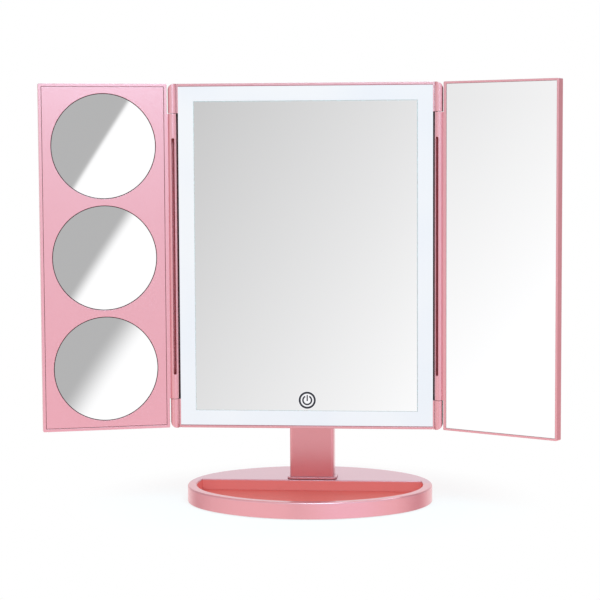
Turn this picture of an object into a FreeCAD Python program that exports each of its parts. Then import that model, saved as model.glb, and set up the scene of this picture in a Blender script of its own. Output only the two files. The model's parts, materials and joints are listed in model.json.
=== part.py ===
"""Trifold vanity mirror: a lit centre mirror with two folding wings, tilting on a stand with a tray base.

Frame: origin at the middle of the base's resting face, +X to the user's right, +Y away from the user, +Z up.
Millimetres and degrees. Every size is a cell of the sheet "Sizes"; DERIVED holds lengths worked out from them.
"""
import FreeCAD, Part
import Sketcher
import math
import os
import re

Vector = FreeCAD.Vector

# ---------------------------------------------------------------------------------------------------------
# Driving dimensions
# ---------------------------------------------------------------------------------------------------------
SIZES = {
    # base: an oval moulding, open below, with a D-shaped tray in front of a straight deck edge
    "base_length": 198,
    "base_depth": 168,
    "end_radius": 75,
    "base_height": 12.8,
    "base_wall": 2.4,
    "rim_width": 7.5,
    "deck_edge": 15,
    "deck_thickness": 2.2,
    "tray_depth": 8.7,
    "tray_wall": 1.8,
    "tray_floor": 1.6,
    "rim_round": 1.2,
    "tray_round": 0.8,
    "cover_thickness": 1.5,
    "cover_gap": 0.3,
    "pad_thickness": 0.8,
    "pad_margin": 6,
    "weight_thickness": 5.5,
    "weight_margin": 6,
    "boss_radius": 4,
    "base_screw_radius": 1.5,
    "base_screw_head_radius": 3,
    "base_screw_head_height": 0.8,
    "base_screw_length": 8,
    "side_boss_inset": 33,
    "side_boss_setback": 15,
    "rear_boss_x": 34,
    "rear_boss_inset": 28,
    "cover_tab_width": 8,
    "cover_tab_thickness": 1.2,
    "cover_tab_step": 1.8,
    # neck: a hollow upright of two shells on a foot that plugs into the base
    "neck_width": 36,
    "neck_depth": 20,
    "neck_front": 19.5,
    "neck_wall": 2,
    "neck_edge_round": 2.2,
    "foot_overhang": 2.2,
    "foot_round": 5,
    "foot_lip_round": 0.7,
    "foot_thickness": 1.6,
    "foot_gap": 0.3,
    "tongue_width": 28,
    "tongue_depth": 11,
    "tongue_length": 9,
    "socket_gap": 0.3,
    "neck_split": 12,
    "neck_screw_radius": 1.25,
    "neck_screw_head_radius": 2.4,
    "neck_screw_head_height": 0.9,
    "neck_screw_margin": 12,
    "neck_boss_radius": 3.2,
    "stiffener_width": 6,
    "stiffener_thickness": 1.5,
    "hinge_block_height": 14,
    # tilt hinge
    "tilt_height": 58,
    "tilt_shaft_radius": 3,
    "tilt_running_gap": 0.05,
    "shaft_head_radius": 5,
    "shaft_head_length": 2.5,
    "washer_thickness": 0.6,
    "washer_radius": 7,
    "bracket_thickness": 2,
    "bracket_length": 28,
    "bracket_flange": 9,
    "bracket_screw_inset": 6,
    "bracket_screw_radius": 1.5,
    "bracket_screw_head_radius": 2.9,
    "bracket_screw_head_height": 1.6,
    "bracket_screw_length": 6,
    "bracket_boss_radius": 3.4,
    "bracket_boss_length": 5,
    "nut_height": 4,
    # head
    "head_clearance": 49.6,
    "head_front": 31,
    "panel_width": 200,
    "panel_height": 272,
    "frame_depth": 10,
    "frame_wall": 1.8,
    "frame_corner": 1,
    "housing_depth": 4,
    "housing_wall": 2,
    "housing_round": 3,
    "housing_corner": 4.5,
    "housing_overlap": 0.8,
    "diffuser_thickness": 3,
    "light_band": 12,
    "mirror_thickness": 3,
    "mirror_setback": 0.4,
    "mirror_gap": 0.2,
    "foam_margin": 8,
    "backing_depth": 5.2,
    "backing_thickness": 1.6,
    "backing_gap": 0.4,
    "led_board_width": 6,
    "led_board_thickness": 0.8,
    "led_size": 2.8,
    "led_height": 0.7,
    "led_end_margin": 14.2,
    "led_row_margin": 8,
    "touch_radius": 7,
    "touch_margin": 8.6,
    "bulge_width": 124,
    "bulge_top": 20,
    "bulge_below_tilt": 26,
    "bulge_depth": 20,
    "bulge_round": 4,
    "cell_radius": 7.25,
    "cell_length": 50.5,
    "cell_cap_radius": 2.7,
    "cell_cap_length": 1,
    "cell_pitch": 15.4,
    "cell_row_height": -12.5,
    "contact_thickness": 0.5,
    "contact_width": 10,
    "spring_radius": 4,
    "spring_wire": 1,
    "spring_length": 2.2,
    "door_width": 110,
    "door_height": 37,
    "door_gap": 0.3,
    "door_thickness": 2,
    "grip_width": 26,
    "grip_height": 8,
    "grip_depth": 0.9,
    "grip_rib": 0.8,
    "control_board_width": 70,
    "control_board_height": 34,
    "control_board_margin": 46,
    "board_thickness": 1.6,
    "usb_width": 8,
    "usb_height": 3.2,
    "usb_length": 6,
    "usb_side": 40,
    "head_screw_radius": 1.5,
    "head_screw_head_radius": 2.8,
    "head_screw_head_height": 1.2,
    "head_screw_length": 4.5,
    "head_screw_inset": 7,
    "head_screw_margin": 20,
    "head_boss_radius": 4,
    # wing hinges
    "hinge_offset": 4.7,
    "closing_gap": 0.3,
    "barrel_radius": 3.2,
    "ear_height": 23,
    "ear_corner": 5.6,
    "ear_arm_depth": 6,
    "barrel_end_gap": 0.3,
    "barrel_slot_length": 187,
    "barrel_slot_width": 2.4,
    "barrel_slot_depth": 4.6,
    "pin_radius": 1,
    "pin_length": 26,
    "pin_running_gap": 0.05,
    "bush_radius": 2.4,
    "bush_length": 10,
    # wings
    "left_angle": 18,
    "right_angle": 31,
    "wing_root": 4.1,
    "wing_meeting_gap": 0.3,
    "wing_depth": 7,
    "wing_back": 1.8,
    "wing_corner": 0.8,
    "wing_rim": 1.6,
    "wing_root_rim": 2.4,
    "left_rim": 2.2,
    "plate_thickness": 3.4,
    "plate_gap": 0.3,
    "plate_setback": 0.2,
    "round_mirror_ends": 9.8,
    "round_mirror_web": 5,
    "round_mirror_gap": 0.6,
    "round_mirror_thickness": 2.4,
    "round_mirror_setback": 0.4,
    "top_mirror_curve": 1200,
    "middle_mirror_curve": 900,
    "bottom_mirror_curve": 600,
    "round_mirror_bevel": 1,
    "wing_mirror_thickness": 3,
    "wing_mirror_setback": 0.3,
    "wing_mirror_gap": 0.2,
}

# Lengths that follow from the sizes, written with their names.
DERIVED = {
    "side_radius": "((base_length / 2 - end_radius)^2 + (base_depth / 2)^2 - end_radius^2)"
                   " / (base_depth - 2 * end_radius)",
    "joint_x": "(base_length / 2 - end_radius) / (side_radius - end_radius)",
    "joint_y": "(side_radius - base_depth / 2) / (side_radius - end_radius)",
    "side_boss_x": "base_length / 2 - side_boss_inset",
    "side_boss_y": "deck_edge + side_boss_setback",
    "rear_boss_y": "base_depth / 2 - rear_boss_inset",
    "base_under": "pad_thickness",
    "base_top": "pad_thickness + base_height",
    "deck_under": "base_top - deck_thickness",
    "cover_top": "base_under + cover_thickness",
    "tray_level": "base_top - tray_depth",
    "tray_under": "tray_level - tray_floor",
    "neck_middle": "neck_front + neck_depth / 2",
    "foot_under": "base_top + foot_gap",
    "foot_top": "foot_under + foot_thickness",
    "panel_bottom": "base_top + head_clearance",
    "panel_middle": "panel_bottom + panel_height / 2",
    "tilt_level": "panel_bottom + tilt_height",
    "tilt_radius": "neck_depth / 2",
    "tilt_drop": "panel_height / 2 - tilt_height",
    "tilt_setback": "head_front + neck_middle",
    "bulge_bottom": "tilt_drop + bulge_below_tilt",
    "control_board_drop": "panel_height / 2 - control_board_margin",
    "head_depth": "frame_depth + housing_depth",
    "bulge_back": "head_depth + bulge_depth",
    "mirror_width": "panel_width - 2 * light_band",
    "mirror_height": "panel_height - 2 * frame_wall - 2 * light_band",
    "touch_drop": "mirror_height / 2 - touch_margin",
    "inner_width": "panel_width - 2 * frame_wall",
    "inner_height": "panel_height - 2 * frame_wall",
    "led_side_pitch": "(inner_height / 2 - led_end_margin) / 6",
    "led_row_pitch": "(mirror_width / 2 - led_row_margin) / 4",
    "hinge_x": "panel_width / 2 + hinge_offset",
    "hinge_y": "-head_front - closing_gap",
    "wing_end": "hinge_x - wing_meeting_gap",
    "ear_bottom": "panel_height / 2 - ear_height",
    "barrel_half": "ear_bottom - barrel_end_gap",
    "wing_middle": "(wing_root + wing_end) / 2",
    "round_mirror_pitch": "(panel_height - round_mirror_ends) / 3",
    "round_mirror_radius": "(round_mirror_pitch - round_mirror_web) / 2 - round_mirror_gap",
    "head_screw_row": "panel_height / 2 - head_screw_margin",
    "bracket_screw_row": "bracket_length / 2 - bracket_screw_inset",
    "cell_depth": "bulge_back - door_thickness - cell_radius - 0.3",
}

doc = FreeCAD.newDocument("TrifoldMirror")
sheet = doc.addObject("Spreadsheet::Sheet", "Sizes")
for row, (word, number) in enumerate(SIZES.items(), start=1):
    sheet.set(f"A{row}", str(number))
    sheet.setAlias(f"A{row}", word)
doc.recompute()


def formula(text):
    """Turns size names into references to the sheet, and derived names into their own formulas."""
    def one_word(match):
        word = match.group(0)
        if word in DERIVED:
            return "(" + formula(DERIVED[word]) + ")"
        if word in SIZES:
            return "Sizes." + word
        return word
    return re.sub(r"[a-z][a-z_]*", one_word, str(text))


def bind(thing, prop, text):
    """Binds a property of a document object to a formula of the sheet's cells."""
    thing.setExpression(prop, formula(text))


def place(thing, x=0, y=0, z=0, turn=0):
    """Gives an object its place and its turn about +Z, both bound to the sheet."""
    bind(thing, "Placement.Base.x", x)
    bind(thing, "Placement.Base.y", y)
    bind(thing, "Placement.Base.z", z)
    bind(thing, "Placement.Rotation.Angle", turn)


# ---------------------------------------------------------------------------------------------------------
# Sketches and features shared by the sub-parts
# ---------------------------------------------------------------------------------------------------------
PLANES = {"X": "YZ_Plane", "Y": "XZ_Plane", "Z": "XY_Plane"}
SUBPARTS = []


def new_body(label, x=0, y=0, z=0, turn=0):
    """A sub-part as a PartDesign body, placed in the part's frame."""
    body = doc.addObject("PartDesign::Body", label)
    body.Label = label
    body.Placement = FreeCAD.Placement(Vector(0, 0, 0), FreeCAD.Rotation(Vector(0, 0, 1), 0))
    place(body, x, y, z, turn)
    SUBPARTS.append(body)
    return body


def head_body(label):
    """A body in the head's frame: origin in the middle of the front face, +Y into the head."""
    return new_body(label, 0, "-head_front", "panel_middle")


def wing_body(label, side):
    """A body in a wing's frame: origin on the hinge axis, at the middle of its height, +Y into the wing."""
    turn = "left_angle" if side < 0 else "-right_angle"
    return new_body(label, f"{side} * (hinge_x)", "hinge_y", "panel_middle", turn)


def new_sketch(body, name, axis, across, up, along):
    """A sketch square to an axis, with its own origin at (across, up) and its level along the axis."""
    sketch = body.newObject("Sketcher::SketchObject", name)
    origin_plane = next(f for f in body.Origin.OriginFeatures if f.Role == PLANES[axis])
    sketch.AttachmentSupport = [(origin_plane, "")]
    sketch.MapMode = "FlatFace"
    level = f"-({along})" if axis == "Y" else along
    bind(sketch, "AttachmentOffset.Base.x", across)
    bind(sketch, "AttachmentOffset.Base.y", up)
    bind(sketch, "AttachmentOffset.Base.z", level)
    return sketch


def constrain(sketch, text, *parts):
    """Adds a dimension to a sketch and binds it to a formula."""
    number = sketch.addConstraint(Sketcher.Constraint(*parts))
    bind(sketch, f"Constraints[{number}]", text)


def extrude(body, sketch, name, axis, length, cut):
    """Pads or pockets a sketch towards the positive end of its axis."""
    feature = body.newObject("PartDesign::Pocket" if cut else "PartDesign::Pad", name)
    feature.Profile = sketch
    bind(feature, "Length", length)
    feature.Reversed = (axis == "Y") != cut
    return feature


def block(body, name, x, y, z, cut=False):
    """A rectangular block between pairs of planes, added or cut, drawn on the horizontal plane."""
    across = f"(({x[0]}) + ({x[1]})) / 2"
    up = f"(({y[0]}) + ({y[1]})) / 2"
    sketch = new_sketch(body, name + "_outline", "Z", across, up, z[0])
    right, top = 9, 6
    corners = [Vector(-right, -top), Vector(right, -top), Vector(right, top), Vector(-right, top)]
    for k in range(4):
        sketch.addGeometry(Part.LineSegment(corners[k], corners[(k + 1) % 4]), False)
    for k in range(4):
        sketch.addConstraint(Sketcher.Constraint("Coincident", k, 2, (k + 1) % 4, 1))
        sketch.addConstraint(Sketcher.Constraint("Vertical" if k % 2 else "Horizontal", k))
    sketch.addConstraint(Sketcher.Constraint("Symmetric", 0, 1, 2, 1, -1, 1))
    constrain(sketch, f"({x[1]}) - ({x[0]})", "DistanceX", 0, 1, 0, 2, 18.0)
    constrain(sketch, f"({y[1]}) - ({y[0]})", "DistanceY", 1, 1, 1, 2, 12.0)
    return extrude(body, sketch, name, "Z", f"({z[1]}) - ({z[0]})", cut)


def disc(body, name, axis, across, up, along, radius, cut=False):
    """A round boss or hole along an axis between two levels."""
    sketch = new_sketch(body, name + "_circle", axis, across, up, along[0])
    sketch.addGeometry(Part.Circle(Vector(0, 0, 0), Vector(0, 0, 1), 5), False)
    sketch.addConstraint(Sketcher.Constraint("Coincident", 0, 3, -1, 1))
    constrain(sketch, radius, "Radius", 0, 5.0)
    return extrude(body, sketch, name, axis, f"({along[1]}) - ({along[0]})", cut)


def pin_point(sketch, geometry, end, x, y, at):
    """Fixes a point of a sketch at (x, y); `at` is where it is drawn and gives the signs."""
    for kind, text, value in (("DistanceX", x, at.x), ("DistanceY", y, at.y)):
        if value > 0:
            constrain(sketch, text, kind, -1, 1, geometry, end, value)
        else:
            constrain(sketch, text, kind, geometry, end, -1, 1, -value)


def oval_points(inset):
    """Formulas of an oval's joints between its end arcs and its long arcs, and of both radii."""
    across = f"base_length / 2 - end_radius + (end_radius - ({inset})) * joint_x"
    along = f"(end_radius - ({inset})) * joint_y"
    return across, along, f"end_radius - ({inset})", f"side_radius - ({inset})"


def drawn_arc(centre, radius, first, last):
    """An arc between two points about a centre, the short way round, anticlockwise."""
    start = math.atan2(first.y - centre.y, first.x - centre.x)
    end = math.atan2(last.y - centre.y, last.x - centre.x)
    if end < start:
        end += 2 * math.pi
    return Part.ArcOfCircle(Part.Circle(centre, Vector(0, 0, 1), radius), start, end)


def drawn_oval():
    """The nominal oval as drawn: end centre, side centre, joint, and the two radii."""
    half_length, half_depth, end = SIZES["base_length"] / 2, SIZES["base_depth"] / 2, SIZES["end_radius"]
    side = ((half_length - end) ** 2 + half_depth ** 2 - end ** 2) / (2 * (half_depth - end))
    toward = Vector(half_length - end, side - half_depth) / (side - end)
    return Vector(half_length - end, 0), Vector(0, half_depth - side), toward, end, side


def oval(body, name, inset, along, cut=False):
    """The base's oval, made of four arcs and drawn in by an inset, between two levels."""
    sketch = new_sketch(body, name + "_oval", "Z", 0, 0, along[0])
    end_centre, side_centre, toward, end, side = drawn_oval()
    joint = end_centre + toward * end
    corners = [Vector(x * joint.x, y * joint.y) for x, y in ((1, -1), (1, 1), (-1, 1), (-1, -1))]
    sketch.addGeometry(drawn_arc(end_centre, end, corners[0], corners[1]), False)
    sketch.addGeometry(drawn_arc(side_centre, side, corners[1], corners[2]), False)
    sketch.addGeometry(drawn_arc(-end_centre, end, corners[2], corners[3]), False)
    sketch.addGeometry(drawn_arc(-side_centre, side, corners[3], corners[0]), False)
    x, y, end_radius, side_radius = oval_points(inset)
    for k in range(4):
        sketch.addConstraint(Sketcher.Constraint("Coincident", k, 2, (k + 1) % 4, 1))
        pin_point(sketch, k, 2, x, y, corners[(k + 1) % 4])
    for k in range(4):
        drawn, text = ((end, end_radius), (side, side_radius))[k % 2]
        constrain(sketch, text, "Radius", k, drawn)
    return extrude(body, sketch, name, "Z", f"({along[1]}) - ({along[0]})", cut)


def cut_oval(body, name, inset, edge, along, cut=False):
    """The oval in front of a straight edge: the outline of the tray."""
    sketch = new_sketch(body, name + "_outline", "Z", 0, 0, along[0])
    end_centre, side_centre, toward, end, side = drawn_oval()
    joint = end_centre + toward * end
    drawn_edge = 15.0
    tip = Vector(end_centre.x + math.sqrt(end ** 2 - drawn_edge ** 2), drawn_edge)
    corners = [Vector(-joint.x, -joint.y), Vector(joint.x, -joint.y), tip, Vector(-tip.x, tip.y)]
    sketch.addGeometry(drawn_arc(-side_centre, side, corners[0], corners[1]), False)
    sketch.addGeometry(drawn_arc(end_centre, end, corners[1], corners[2]), False)
    sketch.addGeometry(Part.LineSegment(corners[2], corners[3]), False)
    sketch.addGeometry(drawn_arc(-end_centre, end, corners[3], corners[0]), False)
    x, y, end_radius, side_radius = oval_points(inset)
    tip_x = f"base_length / 2 - end_radius + sqrt((({end_radius}))^2 - ({edge})^2)"
    for k in range(4):
        sketch.addConstraint(Sketcher.Constraint("Coincident", k, 2, (k + 1) % 4, 1))
    pin_point(sketch, 0, 1, x, y, corners[0])
    pin_point(sketch, 0, 2, x, y, corners[1])
    pin_point(sketch, 2, 1, tip_x, edge, corners[2])
    pin_point(sketch, 2, 2, tip_x, edge, corners[3])
    constrain(sketch, side_radius, "Radius", 0, side)
    constrain(sketch, end_radius, "Radius", 1, end)
    constrain(sketch, end_radius, "Radius", 3, end)
    return extrude(body, sketch, name, "Z", f"({along[1]}) - ({along[0]})", cut)


def slot(body, name, across, up, along, length, width):
    """A round-ended upright slot cut along +Y."""
    sketch = new_sketch(body, name + "_outline", "Y", across, up, along[0])
    radius, half = 2.0, 20.0
    sketch.addGeometry(Part.LineSegment(Vector(radius, -half), Vector(radius, half)), False)
    top = Part.Circle(Vector(0, half, 0), Vector(0, 0, 1), radius)
    sketch.addGeometry(Part.ArcOfCircle(top, 0, math.pi), False)
    sketch.addGeometry(Part.LineSegment(Vector(-radius, half), Vector(-radius, -half)), False)
    foot = Part.Circle(Vector(0, -half, 0), Vector(0, 0, 1), radius)
    sketch.addGeometry(Part.ArcOfCircle(foot, math.pi, 2 * math.pi), False)
    for k in range(4):
        sketch.addConstraint(Sketcher.Constraint("Coincident", k, 2, (k + 1) % 4, 1))
    wide, tall = f"({width}) / 2", f"(({length}) - ({width})) / 2"
    pin_point(sketch, 0, 1, wide, tall, Vector(radius, -half))
    pin_point(sketch, 0, 2, wide, tall, Vector(radius, half))
    pin_point(sketch, 2, 1, wide, tall, Vector(-radius, half))
    pin_point(sketch, 2, 2, wide, tall, Vector(-radius, -half))
    constrain(sketch, tall, "DistanceY", -1, 1, 1, 3, half)
    constrain(sketch, tall, "DistanceY", 3, 3, -1, 1, half)
    return extrude(body, sketch, name, "Y", f"({along[1]}) - ({along[0]})", True)


def corner_cut(body, name, across, up, along, radius, side_x, side_z):
    """Rounds an outer corner of a front view: cuts what lies between the corner and its quarter circle."""
    sketch = new_sketch(body, name + "_outline", "Y", across, up, along[0])
    size = 4.0
    on_top = Vector(-side_x * size, 0)
    on_side = Vector(0, -side_z * size)
    middle = Vector(-side_x * size, -side_z * size)
    anticlockwise = side_x * side_z < 0
    first, last = (on_top, on_side) if anticlockwise else (on_side, on_top)
    sketch.addGeometry(Part.LineSegment(Vector(0, 0), on_top), False)
    sketch.addGeometry(drawn_arc(middle, size, first, last), False)
    sketch.addGeometry(Part.LineSegment(on_side, Vector(0, 0)), False)
    ends = (1, 2) if anticlockwise else (2, 1)
    sketch.addConstraint(Sketcher.Constraint("Coincident", 0, 1, -1, 1))
    sketch.addConstraint(Sketcher.Constraint("Coincident", 2, 2, -1, 1))
    sketch.addConstraint(Sketcher.Constraint("Coincident", 1, ends[0], 0, 2))
    sketch.addConstraint(Sketcher.Constraint("Coincident", 1, ends[1], 2, 1))
    sketch.addConstraint(Sketcher.Constraint("Horizontal", 0))
    sketch.addConstraint(Sketcher.Constraint("Vertical", 2))
    across_span = (0, 2, -1, 1) if side_x > 0 else (-1, 1, 0, 2)
    up_span = (2, 1, -1, 1) if side_z > 0 else (-1, 1, 2, 1)
    centre_span = (1, 3, -1, 1) if side_x > 0 else (-1, 1, 1, 3)
    constrain(sketch, radius, "DistanceX", *across_span, size)
    constrain(sketch, radius, "DistanceY", *up_span, size)
    constrain(sketch, radius, "DistanceX", *centre_span, size)
    return extrude(body, sketch, name, "Y", f"({along[1]}) - ({along[0]})", True)


def round_edges(body, name, radius, chosen):
    """Fillets the edges of a body's last feature that a test chooses."""
    doc.recompute()
    tip = body.Tip
    names = [f"Edge{k}" for k, edge in enumerate(tip.Shape.Edges, start=1) if chosen(edge, tip.Shape)]
    if not names:
        raise ValueError(f"{body.Label}: no edge to round for {name}")
    fillet = body.newObject("PartDesign::Fillet", name)
    fillet.Base = (tip, names)
    bind(fillet, "Radius", radius)
    return fillet


def near(a, b):
    """Whether two lengths are the same to a hundredth of a millimetre."""
    return abs(a - b) < 0.01


def is_upright(edge):
    """Whether an edge is a straight line along Z."""
    return near(edge.BoundBox.XLength, 0) and near(edge.BoundBox.YLength, 0)


def group(label, members):
    """Identical pieces kept as separate solids in one sub-part."""
    compound = doc.addObject("Part::Compound", label)
    compound.Label = label
    compound.Links = members
    SUBPARTS.append(compound)
    return compound


def rod(name, axis, x, y, z, radius, length, bore=None):
    """A cylinder, or a ring when it has a bore, from a point along +X, +Y or +Z."""
    turns = {"X": FreeCAD.Rotation(Vector(0, 1, 0), 90), "Y": FreeCAD.Rotation(Vector(1, 0, 0), -90)}
    pieces = []
    for tag, size in (("", radius), ("_bore", bore)):
        if size is None:
            continue
        cylinder = doc.addObject("Part::Cylinder", name + tag)
        cylinder.Placement = FreeCAD.Placement(Vector(0, 0, 0), turns.get(axis, FreeCAD.Rotation()))
        bind(cylinder, "Radius", size)
        bind(cylinder, "Height", length)
        bind(cylinder, "Placement.Base.x", x)
        bind(cylinder, "Placement.Base.y", y)
        bind(cylinder, "Placement.Base.z", z)
        pieces.append(cylinder)
    if bore is None:
        return pieces[0]
    ring = doc.addObject("Part::Cut", name + "_ring")
    ring.Base, ring.Tool = pieces
    return ring


def bar(name, x, y, z):
    """A rectangular Part::Box between pairs of planes."""
    box = doc.addObject("Part::Box", name)
    for prop, start, pair in (("Length", "x", x), ("Width", "y", y), ("Height", "z", z)):
        bind(box, prop, f"({pair[1]}) - ({pair[0]})")
        bind(box, "Placement.Base." + start, pair[0])
    return box


def joined(name, members):
    """Two or more primitives as one solid."""
    fuse = doc.addObject("Part::MultiFuse", name)
    fuse.Shapes = members
    return fuse


def screw(name, axis, head_at, toward, x, y, z, radius, head_radius, head_height, length):
    """A cheese-head screw: its head starts at head_at on its axis and its shank points toward +1 or -1."""
    place_at = {"X": [head_at, y, z], "Y": [x, head_at, z], "Z": [x, y, head_at]}[axis]
    lane = "XYZ".index(axis)
    head_start = list(place_at)
    shank_start = list(place_at)
    if toward > 0:
        shank_start[lane] = f"({head_at}) + ({head_height})"
    else:
        head_start[lane] = f"({head_at}) - ({head_height})"
        shank_start[lane] = f"({head_at}) - ({head_height}) - ({length})"
    head = rod(name + "_head", axis, *head_start, head_radius, head_height)
    shank = rod(name + "_shank", axis, *shank_start, radius, length)
    return joined(name, [head, shank])


# ---------------------------------------------------------------------------------------------------------
# Base
# ---------------------------------------------------------------------------------------------------------
BASE_SCREWS = [("-side_boss_x", "side_boss_y"), ("side_boss_x", "side_boss_y"),
               ("-rear_boss_x", "rear_boss_y"), ("rear_boss_x", "rear_boss_y")]
SOCKET_X = "tongue_width / 2 + socket_gap"
SOCKET_Y = "tongue_depth / 2 + socket_gap"


def at_top(edge, shape):
    """Whether an edge lies level at the highest point of a shape."""
    return near(edge.CenterOfMass.z, max(v.Z for v in shape.Vertexes))


def make_base_shell():
    """Oval moulding: hollow below, D-shaped tray, socket for the neck and screw bosses."""
    body = new_body("base_shell")
    oval(body, "outside", 0, ("base_under", "base_top"))
    oval(body, "hollow", "base_wall", ("base_under", "deck_under"), cut=True)
    cut_oval(body, "tray_block", "rim_width - tray_wall", "deck_edge + tray_wall",
             ("tray_under", "deck_under + 0.1"))
    cut_oval(body, "tray", "rim_width", "deck_edge", ("tray_level", "base_top"), cut=True)

    def outermost(edge, shape):
        across = max(-edge.BoundBox.XMin, edge.BoundBox.XMax) / shape.BoundBox.XMax
        along = max(-edge.BoundBox.YMin, edge.BoundBox.YMax) / shape.BoundBox.YMax
        return at_top(edge, shape) and max(across, along) > 0.97

    round_edges(body, "rim_rounding", "rim_round", outermost)
    round_edges(body, "tray_rounding", "tray_round",
                lambda edge, shape: at_top(edge, shape) and not outermost(edge, shape))
    block(body, "socket_wall", (f"-({SOCKET_X}) - tray_wall", f"{SOCKET_X} + tray_wall"),
          (f"neck_middle - ({SOCKET_Y}) - tray_wall", f"neck_middle + {SOCKET_Y} + tray_wall"),
          ("cover_top + 0.2", "deck_under + 0.1"))
    block(body, "socket", (f"-({SOCKET_X})", SOCKET_X),
          (f"neck_middle - ({SOCKET_Y})", f"neck_middle + {SOCKET_Y}"), ("cover_top", "base_top"), cut=True)
    for k, (x, y) in enumerate(BASE_SCREWS, start=1):
        disc(body, f"boss_{k}", "Z", x, y, ("cover_top", "deck_under + 0.1"), "boss_radius")
        disc(body, f"boss_hole_{k}", "Z", x, y, ("cover_top", "deck_under - 0.4"), "base_screw_radius + 0.05",
             cut=True)


def make_base_underside():
    """Cover plate with front tabs, steel weight, anti-slip pad and the screws that hold them."""
    cover = new_body("base_bottom_cover")
    oval(cover, "plate", "base_wall + cover_gap", ("base_under", "cover_top"))
    tab_front = "base_depth / 2 - base_wall - cover_gap - 0.6"
    for k in (-1, 0, 1):
        middle = f"{k} * 2 * cover_tab_width"
        setback = f"{abs(k)} * cover_tab_step"
        block(cover, f"tab_{k + 2}", (f"{middle} - cover_tab_width / 2", f"{middle} + cover_tab_width / 2"),
              (f"-({tab_front}) + {setback}", f"-({tab_front}) + {setback} + cover_tab_thickness"),
              ("cover_top", "deck_under - 0.4"))
    weight = new_body("base_weight")
    oval(weight, "plate", "base_wall + weight_margin", ("cover_top", "cover_top + weight_thickness"))
    span = ("cover_top", "cover_top + weight_thickness")
    block(weight, "tray_clearance", ("-base_length / 2", "base_length / 2"),
          ("-base_depth / 2", "deck_edge + tray_wall + 2"), span, cut=True)
    block(weight, "socket_clearance", (f"-({SOCKET_X}) - tray_wall - 0.5", f"{SOCKET_X} + tray_wall + 0.5"),
          ("deck_edge", f"neck_middle + {SOCKET_Y} + tray_wall + 0.5"), span, cut=True)
    for k, (x, y) in enumerate(BASE_SCREWS, start=1):
        disc(cover, f"hole_{k}", "Z", x, y, ("base_under", "cover_top"), "base_screw_radius + 0.2", cut=True)
        disc(cover, f"recess_{k}", "Z", x, y, ("base_under", "base_under + base_screw_head_height + 0.1"),
             "base_screw_head_radius + 0.2", cut=True)
        disc(weight, f"boss_clearance_{k}", "Z", x, y, span, "boss_radius + 0.5", cut=True)

    pad = new_body("base_pad")
    oval(pad, "sheet", "pad_margin", (0, "pad_thickness"))
    screws = []
    for k, (x, y) in enumerate(BASE_SCREWS, start=1):
        screws.append(screw(f"base_screw_{k}", "Z", "base_under + 0.1", 1, x, y, 0, "base_screw_radius",
                            "base_screw_head_radius", "base_screw_head_height", "base_screw_length"))
    group("base_screws", screws)


# ---------------------------------------------------------------------------------------------------------
# Neck
# ---------------------------------------------------------------------------------------------------------
NECK_BACK = "neck_front + neck_depth"
NECK_JOIN = "neck_front + neck_split"
HALF_NECK = "neck_width / 2"
INNER_HALF = "neck_width / 2 - neck_wall"
INNER_RADIUS = "tilt_radius - neck_wall"


def neck_shell(label, opened):
    """One half of the neck: the round-topped upright, hollowed, bored for the shaft and split lengthwise."""
    body = new_body(label)
    block(body, "upright", (f"-({HALF_NECK})", HALF_NECK), ("neck_front", NECK_BACK), ("foot_top", "tilt_level"))
    disc(body, "knuckle", "X", "neck_middle", "tilt_level", (f"-({HALF_NECK})", HALF_NECK), "tilt_radius")

    def side_edge(edge, shape):
        on_side = near(abs(edge.CenterOfMass.x), shape.BoundBox.XMax) and near(edge.BoundBox.XLength, 0)
        return on_side and not (near(edge.BoundBox.ZMin, shape.BoundBox.ZMin)
                                and near(edge.BoundBox.ZLength, 0))

    round_edges(body, "edge_rounding", "neck_edge_round", side_edge)
    inner_y = ("neck_front + neck_wall", f"{NECK_BACK} - neck_wall")
    block(body, "hollow", (f"-({INNER_HALF})", INNER_HALF), inner_y, ("foot_top", "tilt_level"), cut=True)
    disc(body, "knuckle_hollow", "X", "neck_middle", "tilt_level", (f"-({INNER_HALF})", INNER_HALF),
         INNER_RADIUS, cut=True)
    disc(body, "shaft_bore", "X", "neck_middle", "tilt_level", (f"-({HALF_NECK})", HALF_NECK),
         "tilt_shaft_radius + tilt_running_gap", cut=True)
    block(body, "split", (f"-({HALF_NECK})", HALF_NECK), opened, ("foot_top", "tilt_level + tilt_radius"),
          cut=True)
    return body


NECK_SCREW_LEVELS = ["foot_top + neck_screw_margin", "tilt_level - hinge_block_height - neck_screw_margin"]


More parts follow.
